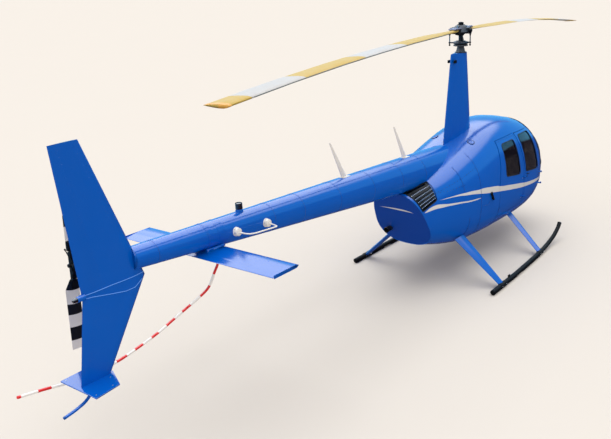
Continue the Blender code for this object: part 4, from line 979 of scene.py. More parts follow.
@dataclass
class BodyDetails:
    """Sheet joints, rivets, screws, fuel caps, breather hoods and landing lights of the body."""

    seams: tuple[tuple[float, float, float], ...] = (
        (0.503, -84, 62), (0.860, 18, 58), (0.760, -80, -8), (-1.700, -80, -8), (-0.020, -84, -12))
    rivet_pitch: float = 0.055
    cowl_row: tuple[Point, ...] = ((0.830, 1.346), (1.108, 1.329), (1.312, 1.342))
    shoulder_row: tuple[Point, ...] = ((0.530, 1.500), (0.900, 1.420), (1.280, 1.350))
    patch: tuple[Point, ...] = ((0.262, 1.010), (0.310, 0.953), (0.463, 0.970))
    caps: tuple[Point, ...] = ((-0.298, 0.226), (0.270, 0.219))
    scoops: tuple[Point, ...] = ((0.245, 1.088), (0.212, 1.028))

    def build(self) -> None:
        """Makes the joints, rows, caps, hoods and lights."""
        for side, sign in SIDES.items():
            self.joints(side, sign)
            self.rows(side, sign)
        self.fuel_caps()
        self.scoop()
        self.piping()
        self.nose_lights()

    def joints(self, side: str, sign: int) -> None:
        """Makes the dark lines where sheets meet, with a rivet row beside each."""
        lines, heads = Form(), []
        for y, low, high in self.seams:
            ring = HULL.ring(y, low, high, -0.0006, 40)
            lines.tube([Vector((sign * p.x, p.y, p.z)) for p in ring], 0.0022, sides=1)
            for offset in (-0.016, 0.016):
                row = spaced(HULL.ring(y + offset, low, high, 0.0, 60), self.rivet_pitch)
                heads += [Vector((sign * p.x, p.y, p.z)) for p in row]
        trace = spaced([(0.0, *p) for p in self.patch], 0.02)
        lines.tube([HULL.side(p.y, p.z, sign) for p in trace], 0.0022, sides=1)
        lines.finish(f"sheet_joints_{side}", SEAM_BLUE)
        Form().studs(HULL.facing(heads), *RIVET).finish(f"body_rivets_{side}", BLUE)

    def rows(self, side: str, sign: int) -> None:
        """Makes the dark quarter-turn screws along the cowl's top and shoulder."""
        heads = [HULL.side(p.y, p.z, sign) for row in (self.cowl_row, self.shoulder_row)
                 for p in spaced([(0.0, *q) for q in row], 0.050)]
        Form().studs(HULL.facing(heads), *SCREW).finish(f"cowl_screws_{side}", DARK_SCREW_AND_SHADOW)

    def fuel_caps(self) -> None:
        """Makes the two flush fuel caps on the shoulders behind the doors, each in a dark ring that is a painted
        shadow.
        """
        for (x, y), side in zip(self.caps, SIDES):
            middle = HULL.roof(x, y)
            axis = HULL.normal(middle)
            # The ring's dark colour is a painted shadow round the raised cap
            Form().lathe(((0.052, -0.002), (0.052, 0.0025), (0.046, 0.003), (0.045, -0.002)), middle, axis).finish(
                f"fuel_cap_ring_{side}", DARK_SCREW_AND_SHADOW)
            form = Form().lathe(
                ((0.0, 0.006), (0.038, 0.0055), (0.042, 0.003), (0.042, -0.002), (0.0, -0.002)), middle, axis)
            ahead = axis.cross(Vector((1.0, 0.0, 0.0))).normalized()
            form.rod(middle + axis * 0.007 - ahead * 0.024, middle + axis * 0.007 + ahead * 0.024, 0.006, 0.004, 12)
            form.finish(f"fuel_cap_{side}", BLUE)

    def scoop(self) -> None:
        """Makes the two small black hoods under the stripe on the right side."""
        form = Form()
        for y, z in self.scoops:
            middle = HULL.side(y, z, -1, 0.010)
            form.ball(middle, 0.026, (0.6, 0.9, 1.1))
            form.lathe(((0.010, 0.0), (0.016, 0.004), (0.016, 0.016), (0.011, 0.018), (0.009, 0.004)),
                       middle + Vector((-0.004, -0.004, -0.018)), (-0.5, -0.2, -0.8), 16)
        form.finish("breather_hoods", SATIN_BLACK)

    def piping(self) -> None:
        """Makes the rolled edge round the slanted aft panel."""
        edge = HULL.ring(-0.004, 118, 422, 0.001, 96, slanted=True)
        Form().tube(edge, 0.0062).finish("aft_panel_rolled_edge", BLUE)
        heads = spaced(HULL.ring(-0.030, 120, 420, 0.0, 96, slanted=True), 0.060)
        Form().studs(HULL.facing(heads), 0.0040, 0.0018).finish("aft_panel_rivets", BLUE)

    def nose_lights(self) -> None:
        """Makes the two landing lights low in the nose."""
        shell = Surface("cabin_shell")
        rims, lenses = Form(), Form()
        for x in (-0.105, 0.105):
            point, normal = shell.drop((x, -3.0, 0.830), (0, 1, 0))
            rims.lathe(
                ((0.046, -0.010), (0.050, 0.002), (0.046, 0.006), (0.041, 0.004), (0.040, -0.010)), point, normal)
            lenses.lathe(
                ((0.0, 0.006), (0.024, 0.005), (0.041, 0.001), (0.041, -0.006), (0.0, -0.006)), point, normal)
        rims.finish("landing_light_rims", STEEL)
        lenses.finish("landing_light_lenses", LENS)


@dataclass
class Louvre:
    """The cooling louvre in the cowl's shoulder: a frame, and thin bars with rows of bright dots."""

    corners: tuple[Point, ...] = (
        (-0.228, 1.308, 1.472), (-0.408, 1.356, 1.261), (-0.359, 1.619, 1.169), (-0.120, 1.708, 1.403))
    slats: int = 6
    sunk: float = 0.0045

    def build(self) -> None:
        """Makes the dots, the bars and the frame of both louvres."""
        for side, sign in SIDES.items():
            corners = [Vector((-sign * x, y, z)) for x, y, z in self.corners]
            dots, bars = [], Form()
            for slat in range(self.slats + 1):
                share = slat / self.slats
                fore, aft = corners[0].lerp(corners[1], share), corners[3].lerp(corners[2], share)
                line = [HULL.side(p.y, p.z, sign, -self.sunk)
                        for p in spaced([fore.lerp(aft, 0.08), fore.lerp(aft, 0.92)], 0.026)]
                if 0 < slat < self.slats:
                    bars.tube(line, 0.0016)
                    dots += HULL.facing(line)
            Form().studs(dots, 0.0075, 0.0050).finish(f"louvre_dots_{side}", BRIGHT_METAL)
            bars.finish(f"louvre_bars_{side}", BLUE)
            loop = spaced([*corners, corners[0]], 0.03)[:-1]
            Form().tube([HULL.side(p.y, p.z, sign, -0.001) for p in loop], 0.005, closed=True).finish(
                f"louvre_frame_{side}", SATIN_BLACK)


@dataclass
class Exhaust:
    """The short exhaust pipe through the aft panel, with a rolled lip and soot inside."""

    start: Point = (0.212, 1.20, 0.835)
    end: Point = (0.225, 1.575, 0.815)
    radius: float = 0.0358
    wall: float = 0.0030

    def build(self) -> None:
        """Makes the pipe and its sooty bore."""
        start, end = Vector(self.start), Vector(self.end)
        length, axis = (end - start).length, (end - start).normalized()
        outer, inner = self.radius, self.radius - self.wall
        Form().lathe(
            ((inner, 0.0), (outer, 0.0), (outer, length - 0.012), (outer + 0.0028, length - 0.007),
             (outer + 0.0028, length - 0.002), (outer, length), (inner, length - 0.001), (inner, length - 0.07),
             (inner, 0.0)), start, axis, 40).finish("exhaust_pipe_rolled", EXHAUST, ["exhaust_pipe"])
        Form().lathe(((0.0, length - 0.10), (inner - 0.0004, length - 0.10), (inner - 0.0004, length - 0.008),
                      (inner - 0.0016, length - 0.008), (inner - 0.0016, length - 0.095), (0.0, length - 0.095)),
                     start, axis, 40).finish("exhaust_soot", SOOT)


@dataclass
class Pad:
    """A foam pad in a sewn cover: its side outline, its middle and half width, and what it rests on."""

    name: str
    replaces: str
    outline: tuple[Point, ...]
    middle: float
    half: float
    rests: tuple[float, float, float]
    looks: tuple[float, float, float]
    shrink: float = 0.010
    voxel: float = 0.009
    cap: float = 0.018
    channel: float = 0.085
    fill: float = 0.7

    def form(self) -> Piece:
        """Makes the slack pad: a bevelled block, remeshed evenly."""
        low = self.middle - self.half + self.shrink
        form = Form().prism([(low, y, z) for y, z in self.outline], (2 * (self.half - self.shrink), 0.0, 0.0))
        bmesh.ops.bevel(
            form.bm, geom=list(form.bm.edges), offset=0.020, affect="EDGES", segments=4, profile=0.5, material=-1)
        pad = form.finish(self.name, LEATHER, [self.replaces], 180.0)
        remesh = pad.modifiers.new("even_faces", "REMESH")
        remesh.mode, remesh.voxel_size, remesh.use_smooth_shade = "VOXEL", self.voxel, True
        self.apply(pad)
        return pad

    @staticmethod
    def apply(pad: Piece) -> None:
        """Puts the result of the pad's modifiers in its mesh and removes them."""
        bpy.context.view_layer.update()
        mesh = bpy.data.meshes.new_from_object(pad.evaluated_get(bpy.context.evaluated_depsgraph_get()))
        mesh.name = pad.name
        pad.modifiers.clear()
        pad.data = mesh
        mesh.shade_smooth()

    def slacken(self, pad: Piece) -> list[Vector]:
        """Gives the pad its cloth, held where it rests, and returns where its points were."""
        held = pad.vertex_groups.new(name="held")
        rests = Vector(self.rests)
        held.add([v.index for v in pad.data.vertices if v.normal.dot(rests) > 0.7], 1.0, "REPLACE")
        cloth = pad.modifiers.new("cover", "CLOTH")
        cloth.settings.vertex_group_mass = "held"
        cloth.settings.use_pressure, cloth.settings.uniform_pressure_force = True, 4.0
        cloth.settings.effector_weights.gravity = 0.0
        cloth.settings.quality, cloth.settings.mass = 4, 0.3
        cloth.point_cache.frame_start, cloth.point_cache.frame_end = 1, CLOTH_FRAMES
        return [v.co.copy() for v in pad.data.vertices]

    def sew(self, pad: Piece, before: list[Vector] | None) -> None:
        """Caps the cover's movement and pulls in the sewn channels."""
        looks = Vector(self.looks)
        seen = [vertex.normal.dot(looks) > 0.25 for vertex in pad.data.vertices]
        for at, vertex in enumerate(pad.data.vertices):
            if before:
                move = vertex.co - before[at]
                if move.length > self.cap:
                    vertex.co = before[at] + move.normalized() * self.cap
            if seen[at]:
                away = min(abs(vertex.co.x - self.middle - side * self.channel) for side in (-1, 1))
                vertex.co -= looks * 0.007 * math.exp(-(away / 0.009) ** 2)
        subdivide = pad.modifiers.new("fine_faces", "SUBSURF")
        subdivide.levels = subdivide.render_levels = 1


@dataclass
class Seats:
    """Four seats: moulded boxes, padded cushions and backs with piping, and belts."""

    places: tuple[tuple[str, float, float, float, float], ...] = (
        ("front_seat_right", -0.254, 0.200, -1.22, -0.78), ("front_seat_left", 0.254, 0.200, -1.22, -0.78),
        ("rear_seat_right", -0.258, 0.208, -0.32, 0.10), ("rear_seat_left", 0.258, 0.208, -0.32, 0.10))

    def build(self) -> None:
        """Makes the seats, with one simulation for all the pads."""
        made = []
        for name, x, half, front, back in self.places:
            box = ((front + 0.004, 0.582), (front - 0.022, 0.800), (back + 0.085, 0.800), (back + 0.045, 0.582))
            Form().prism([(x - half + 0.006, y, z) for y, z in box], (2 * half - 0.012, 0.0, 0.0), 0.012).finish(
                f"{name}_box", TRIM)
            cushion = Pad(
                f"{name}_cushion", name, ((front - 0.012, 0.804), (front - 0.014, 0.862), (front + 0.020, 0.872),
                                          (back - 0.012, 0.856), (back + 0.020, 0.804)), x, half, (0, 0, -1),
                (0, 0, 1))
            back_pad = Pad(f"{name}_back", name, ((back + 0.030, 0.862), (back + 0.158, 1.402), (back + 0.206, 1.396),
                                                  (back + 0.098, 0.862)), x, half, (0, 0.97, -0.24), (0, -0.97, 0.24))
            made += [(pad, pad.form()) for pad in (cushion, back_pad)]
        before = [None] * len(made)
        before = [pad.slacken(obj) for pad, obj in made]
        scene = bpy.context.scene
        scene.frame_start, scene.frame_end = 1, CLOTH_FRAMES
        for step in range(1, CLOTH_FRAMES + 1):
            scene.frame_set(step)
        for pad, obj in made:
            pad.apply(obj)
        scene.frame_set(1)
        for (pad, obj), old in zip(made, before):
            pad.sew(obj, old)
            self.piping(pad, obj)
        self.belts({pad.name: obj for pad, obj in made})

    def piping(self, pad: Pad, obj: Piece) -> None:
        """Lays the sewn piping round the pad's upper face."""
        tree = tree_of(obj)
        looks = Vector(pad.looks)
        across = Vector((1.0, 0.0, 0.0))
        down = looks.cross(across)
        places = [Vector((0.0, MAST_Y + y, z)) for y, z in pad.outline]
        middle = sum(places, Vector()) / len(places) + across * pad.middle
        reach = 0.5 * (max(p.dot(down) for p in places) - min(p.dot(down) for p in places)) - 0.028
        centre = middle + down * (
            0.5 * (max(p.dot(down) for p in places) + min(p.dot(down) for p in places)) - middle.dot(down))
        half = pad.half - 0.026
        loop = rounded(
            [centre + across * a * half + down * b * reach for a, b in ((-1, -1), (1, -1), (1, 1), (-1, 1))], 0.045)
        points = []
        for point in spaced([*loop, loop[0]], 0.018)[:-1]:
            hit = tree.ray_cast(point + looks * 0.3, -looks)[0]
            if hit is not None:
                points.append(hit - MAST + looks * 0.001)
        Form().tube(points, 0.0042, closed=True, sides=1).finish(f"{pad.name}_piping", PIPING)

    def belts(self, pads: dict[str, Piece]) -> None:
        """Lays a lap belt over each cushion and a shoulder belt down each back."""
        for name, x, half, _front, back in self.places:
            sign = 1 if x > 0 else -1
            lap = self.laid(pads[f"{name}_cushion"], [(x + a * (half - 0.03), back - 0.055 - 0.05 * (1 - abs(a)), 1.2)
                                                      for a in fractions(-1.0, 1.0, 16)], (0, 0, -1))
            shoulder = self.laid(
                pads[f"{name}_back"], [(x + sign * (half - 0.05) * (1 - 1.6 * t), back - 0.3, 1.385 - 0.47 * t)
                                       for t in fractions(0.0, 1.0, 16)], (0, 1, 0))
            form = Form().ribbon(lap, (0.0, 0.044, 0.0), 0.0016).ribbon(shoulder, (0.040, 0.0, -0.018), 0.0016)
            form.finish(f"{name}_belts", WEBBING)
            buckle = lap[len(lap) // 2] + Vector((0.0, 0.020, 0.004))
            Form().block(buckle - Vector((0.026, 0.028, 0.006)), buckle + Vector((0.026, 0.028, 0.008)),
                         0.004).finish(f"{name}_buckle", STEEL)

    @staticmethod
    def laid(pad: Piece, places: Iterable[Point], direction: Point) -> list[Vector]:
        """Returns the points where lines from some places meet a pad, lifted off it a little."""
        tree, direction, points = tree_of(pad), Vector(direction), []
        for place in places:
            hit = tree.ray_cast(Vector(place) + MAST, direction)[0]
            if hit is not None:
                points.append(hit - MAST - direction * 0.002)
        return points


@dataclass
class Cabin:
    """Instruments, controls, pedals, the bulkhead's quilted trim and the floor's kick strips."""

    panel: tuple[Point, Point] = ((-1.617, 1.112), (-1.552, 0.720))
    dial_rows: tuple[tuple[float, float], ...] = ((0.13, 0.041), (0.36, 0.041), (0.58, 0.035), (0.78, 0.030))

    def build(self) -> None:
        """Makes the dials, the controls and the pedals."""
        self.dials()
        self.controls()
        self.trim()

    def dials(self) -> None:
        """Makes two columns of round instruments on the console's sloped face."""
        high, low = (Vector((0.0, *p)) for p in self.panel)
        normal = Vector((0.0, (high - low).z, -(high - low).y)).normalized()
        rims, faces, marks = Form(), Form(), Form()
        for share, radius in self.dial_rows:
            for x in (-0.066, 0.066):
                middle = high.lerp(low, share) + Vector((x, 0.0, 0.0))
                rims.lathe(((radius, -0.002), (radius + 0.006, 0.0), (radius + 0.005, 0.006), (radius, 0.007),
                            (radius - 0.002, 0.002)), middle, normal, 28)
                faces.lathe(((0.0, 0.0025), (radius - 0.001, 0.0025), (radius - 0.001, -0.002), (0.0, -0.002)),
                            middle, normal, 28)
                up = (high - low).normalized()
                side = up.cross(normal)
                for tick in range(10):
                    angle = math.radians(210 - 24 * tick)
                    out = side * math.cos(angle) + up * math.sin(angle)
                    start = middle + normal * 0.003
                    marks.rod(start + out * (radius - 0.010), start + out * (radius - 0.004), 0.0009, sides=4)
                needle = side * math.cos(share * 9 + x * 20) + up * math.sin(share * 9 + x * 20)
                hub = middle + normal * 0.0035
                marks.rod(hub - needle * 0.006, hub + needle * (radius - 0.012), 0.0013, 0.0006, 6)
        rims.finish("dial_rims", SATIN_BLACK)
        faces.finish("dial_faces", DIAL)
        marks.finish("dial_marks", DIAL_MARK)
        switches = Form()
        for step in range(6):
            base = high.lerp(low, 0.93) + Vector((-0.10 + 0.04 * step, 0.0, 0.0))
            switches.rod(base, base + normal * 0.004, 0.006, sides=12)
            switches.rod(base, base + normal * 0.016 + Vector((0, 0, 0.004)), 0.002, 0.003, 8)
        switches.finish("console_switches", STEEL)

    def controls(self) -> None:
        """Makes the cyclic's boot and grip, the collective lever and the pedals."""
        form = Form().lathe(((0.056, 0.0), (0.056, 0.006), (0.040, 0.012), (0.044, 0.020), (0.030, 0.026),
                             (0.034, 0.034), (0.020, 0.040), (0.018, 0.060), (0.0, 0.060)), (0.0, -1.20, 0.581))
        grip = [Vector((0.300, -1.360, 0.955)), Vector((0.300, -1.352, 0.910)), Vector((0.300, -1.342, 0.872))]
        form.tube(grip, 0.0165, sides=4)
        for step in range(5):
            ring = grip[0].lerp(grip[2], 0.12 + 0.19 * step)
            form.lathe(((0.016, -0.004), (0.0185, 0.0), (0.016, 0.004)), ring, (0.0, 0.12, -1.0), 20)
        form.finish("cyclic_boot_and_grip", RUBBER)
        lever = Form().tube(((0.470, -0.84, 0.640), (0.470, -1.05, 0.760), (0.470, -1.18, 0.835)), 0.012)
        lever.rod((0.470, -1.10, 0.789), (0.470, -1.24, 0.870), 0.019, 0.017, 20, 0.004)
        lever.finish("collective_lever", SATIN_BLACK)
        pedals = Form()
        for x in (-0.33, -0.19, 0.19, 0.33):
            pedals.tube(((x, -1.66, 0.582), (x, -1.70, 0.66), (x, -1.715, 0.715)), 0.008)
            pedals.block((x - 0.045, -1.726, 0.700), (x + 0.045, -1.712, 0.740), 0.004)
        pedals.finish("foot_pedals", ANODISED)

    def trim(self) -> None:
        """Makes the raised quilted panel on the bulkhead and the floor's kick strips."""
        form = Form()
        for x in fractions(-0.36, 0.36, 4):
            form.block((x - 0.095, 0.344, 0.98), (x + 0.095, 0.3595, 1.50), 0.007)
        form.finish("bulkhead_quilt", LEATHER)
        strips = Form()
        for sign in (-1, 1):
            strips.block((sign * 0.035 - 0.006, -1.10, 0.5803), (sign * 0.035 + 0.006, 0.20, 0.586), 0.002)
        strips.finish("floor_strips", STEEL)


@dataclass
class MastTop:
    """The mast tube with the fixed half of the swashplate, and the fairing's catches and rivets."""

    top: float = 2.9303
    rows: tuple[tuple[float, float, float, float], ...] = (
        (1.600, -0.265, 0.480, 0.230), (2.930, -0.130, 0.270, 0.130))

    def build(self) -> None:
        """Makes the mast tube and the fairing's fittings."""
        tube = Form().lathe(
            ((0.033, 0.002), (0.078, 0.002), (0.080, 0.010), (0.062, 0.016), (0.056, 0.040), (0.046, 0.078),
             (0.046, 0.0877), (0.094, 0.0877), (0.098, 0.0917), (0.098, 0.1017), (0.094, 0.1057), (0.033, 0.1057),
             (0.033, 0.002)), (0.0, 0.0, self.top), steps=48)
        tube.finish("mast_tube_turned", CAST, ["mast_tube"])
        bolts = [(Vector((0.070 * math.cos(a), 0.070 * math.sin(a), self.top + 0.008)), Vector((0, 0, 1)))
                 for a in angles(8)]
        Form().studs(bolts, 0.006, 0.007, 6).finish("mast_tube_bolts", STEEL)
        form = Form()
        for sign in (-1, 1):
            form.block((sign * 0.046 - 0.010, 0.205, 2.815), (sign * 0.046 + 0.010, 0.265, 2.855), 0.004)
        form.finish("fairing_catches", SATIN_BLACK)
        fairing = Surface("mast_fairing")
        for side, sign in SIDES.items():
            heads = []
            for step in range(22):
                height = 1.92 + 0.045 * step
                share = (height - 1.6) / 1.33
                for place in (0.80, 0.14):
                    low, high = (self.rows[0][c] + (self.rows[1][c] - self.rows[0][c]) * share for c in (1, 2))
                    heads.append(fairing.drop((sign * 0.6, low + (high - low) * place, height), (-sign, 0, 0)))
            Form().studs(heads, 0.0038, 0.0016).finish(f"fairing_rivets_{side}", BLUE)


@dataclass
class RotorHead:
    """The teetering hub, its grips, pitch horns and links, and the turning half of the swashplate."""

    turn: float = 4.6
    links: dict[int, tuple[float, float]] = field(default_factory=lambda: {1: (0.140, 0.050), -1: (-0.115, -0.050)})

    def build(self) -> None:
        """Makes the hub, the grips, the links and the swashplate."""
        self.hub()
        self.grips()
        self.swashplate()

    def part(self, form: Form, name: str, finish: Finish, replaces: Sequence[str] = ()) -> None:
        """Turns a part to the angle at which the rotor rests and finishes it."""
        form.turned(self.turn, "Z", (0.0, 0.0, 0.0))
        form.finish(name, finish, replaces, body=Body.MAIN_ROTOR, slot=Slot.ROTOR)

    def hub(self) -> None:
        """Makes the shaft, the forked hub, the teeter bolt and the mast nut."""
        form = Form().lathe(
            ((0.0, 2.942), (0.030, 2.942), (0.030, 3.150), (0.044, 3.160), (0.046, 3.182), (0.104, 3.184),
             (0.122, 3.194), (0.124, 3.206), (0.112, 3.226), (0.096, 3.256), (0.076, 3.280), (0.060, 3.290),
             (0.0, 3.291)), (0, 0, 0), steps=48)
        for end in (-1, 1):
            form.block((end * 0.100 - 0.022, -0.040, 3.188), (end * 0.100 + 0.022, 0.040, 3.262), 0.010)
        self.part(form, "hub_forging", ANODISED, ["rotor_hub"])
        form = Form().rod((-0.148, 0, 3.225), (0.148, 0, 3.225), 0.020, sides=24)
        for end in (-1, 1):
            form.rod((end * 0.124, 0, 3.225), (end * 0.134, 0, 3.225), 0.032, sides=28, bevel=0.003)
            form.rod((end * 0.134, 0, 3.225), (end * 0.156, 0, 3.225), 0.027, sides=6, bevel=0.002)
        form.rod((0, 0, 3.288), (0, 0, 3.297), 0.052, sides=32, bevel=0.002)
        form.rod((0, 0, 3.297), (0, 0, 3.326), 0.0358, sides=6, bevel=0.002)
        form.rod((0, 0, 3.322), (0, 0, 3.330), 0.022, sides=24, bevel=0.002)
        self.part(form, "teeter_bolt_and_nut", SATIN_BLACK)
        form = Form()
        for end in (-1, 1):
            for x in (-0.032, 0.032):
                form.rod((x, end * 0.020, 3.265), (x, end * 0.062, 3.262), 0.009, sides=16, bevel=0.001)
        self.part(form, "droop_stops", STEEL)

    def grips(self) -> None:
        """Makes each blade's upper grip plate, coning bolt, spindle boot and pitch horn."""
        plates, bolts, boots, horns = Form(), Form(), Form(), Form()
        for end, (out, back) in self.links.items():
            ys = sorted((end * 0.040, end * 0.300))
            plates.block((-0.050, ys[0], 3.2430), (0.050, ys[1], 3.2612), 0.005)
            bolts.rod((0.0, end * 0.090, 3.205), (0.0, end * 0.090, 3.272), 0.018, sides=24, bevel=0.002)
            bolts.rod((0.0, end * 0.090, 3.270), (0.0, end * 0.090, 3.284), 0.019, sides=6, bevel=0.0015)
            for y in (0.175, 0.235, 0.280):
                for x in (-0.030, 0.030):
                    bolts.rod((x, end * y, 3.258), (x, end * y, 3.268), 0.0075, sides=6, bevel=0.001)
            boots.lathe(((0.046, 0.0), (0.052, 0.008), (0.044, 0.016), (0.050, 0.024), (0.042, 0.032), (0.047, 0.040),
                         (0.036, 0.048), (0.030, 0.050), (0.028, 0.0), (0.046, 0.0)), (0.0, end * 0.088, 3.214),
                        (0, end, 0), 32)
            low, high = sorted((0.04 * math.copysign(1, out), out + end * 0.015))
            horns.block((low, back - 0.018, 3.1755), (high, back + 0.018, 3.1995), 0.006)
            horns.lathe(((0.0, -0.014), (0.015, -0.012), (0.017, 0.0), (0.015, 0.012), (0.0, 0.014)),
                        (out, back, 3.1875), (1, 0, 0), 20)
        # The grip plates' pale lilac is a painted highlight on their upper faces
        self.part(plates, "grip_plates", LILAC_HIGHLIGHT_PLATE)
        self.part(bolts, "coning_bolts", STEEL)
        self.part(boots, "spindle_boots", RUBBER)
        self.part(horns, "pitch_horns", ANODISED)

    def swashplate(self) -> None:
        """Makes the turning plate with its collar and ears, and the links with their rod ends."""
        form = Form().lathe(
            ((0.052, 3.0385), (0.084, 3.0385), (0.086, 3.0485), (0.100, 3.0500), (0.104, 3.0530), (0.103, 3.0620),
             (0.098, 3.0730), (0.093, 3.0760), (0.070, 3.0760), (0.064, 3.0860), (0.052, 3.0860), (0.052, 3.0385)),
            (0, 0, 0), steps=48)
        links, ends = Form(), Form()
        for end, (out, back) in self.links.items():
            low, high = sorted((end * 0.070, out + end * 0.012))
            form.block((low, back - 0.014, 3.0545), (high, back + 0.014, 3.0715), 0.004)
            links.rod((out, back, 3.040), (out, back, 3.168), 0.0062, sides=16)
            links.rod((out, back, 3.075), (out, back, 3.140), 0.0078, sides=6)
            for height in (3.030, 3.168):
                ends.ball((out, back, height), 0.0125)
                ends.rod((out, back, height + (0.010 if height < 3.1 else -0.010)),
                         (out, back, height + (0.024 if height < 3.1 else -0.024)), 0.0085, sides=6)
        form.tube(
            ((-0.052, 0.072, 3.070), (-0.075, 0.085, 3.110), (-0.050, 0.060, 3.150), (-0.020, 0.030, 3.165)), 0.006)
        self.part(form, "swashplate_turned", ANODISED, ["swashplate_and_links"])
        self.part(links, "pitch_links", STEEL)
        self.part(ends, "link_rod_ends", SATIN_BLACK)


@dataclass
class MainBlades:
    """Nose strips, trim tabs and ochre caps on the main rotor's two blades."""

    hub: float = 3.225
    radius: float = 5.03
    chord: float = 0.254
    lead: float = 0.40
    blades: dict[str, tuple[int, float, float, float]] = field(
        default_factory=lambda: {"near": (1, 0.185, 2.1, 5.3), "far": (-1, 0.225, 2.4, 3.9)})

    def build(self) -> None:
        """Makes the fittings of both blades."""
        for place, (end, droop, power, turn) in self.blades.items():
            strip = [Vector((-end * self.lead * self.chord, end * r, self.height(r, droop, power)))
                     for r in fractions(0.62, 4.68, 60)]
            self.fit(Form().tube(strip, 0.0042), turn, f"blade_{place}_nose_strip", NOSE_STRIP)
            tail = end * (1 - self.lead) * self.chord
            tab = [Vector((tail - end * 0.006, end * r, self.height(r, droop, power))) for r in (4.40, 4.475, 4.55)]
            self.fit(Form().ribbon(tab, (end * 0.034, 0.0, -0.004), 0.0016), turn, f"blade_{place}_trim_tab", BLADE)
            ys = sorted((end * 0.150, end * 0.420))
            straps = Form()
            for r in (0.20, 0.27, 0.34):
                straps.rod(
                    (0.0, end * r, self.hub - 0.021), (0.0, end * r, self.hub + 0.0172), 0.012, sides=6, bevel=0.001)
            self.fit(straps, turn, f"blade_{place}_root_bolts", STEEL)
            cap = Form().copy(f"main_blade_{place}")
            cut = Matrix.Rotation(math.radians(turn), 3, "Z") @ Vector((0.0, end, 0.0))
            cap.kept(cut * (self.radius - 0.055), cut)
            bmesh.ops.scale(cap.bm, verts=cap.bm.verts, vec=(1.012, 1.0, 1.12),
                            space=Matrix.Translation(-(cut * self.radius
                                                       + Vector((0, 0, self.height(self.radius, droop, power))))))
            cap.finish(f"blade_{place}_cap", OCHRE, body=Body.MAIN_ROTOR, smooth=60.0)

    def height(self, reach: float, droop: float, power: float) -> float:
        """Returns the height of a blade's middle at a distance from the mast."""
        return self.hub - droop * (reach / self.radius) ** power

    @staticmethod
    def fit(form: Form, turn: float, name: str, finish: Finish) -> None:
        """Turns a fitting with its blade and finishes it."""
        form.turned(turn, "Z", (0.0, 0.0, 0.0)).finish(name, finish, body=Body.MAIN_ROTOR)


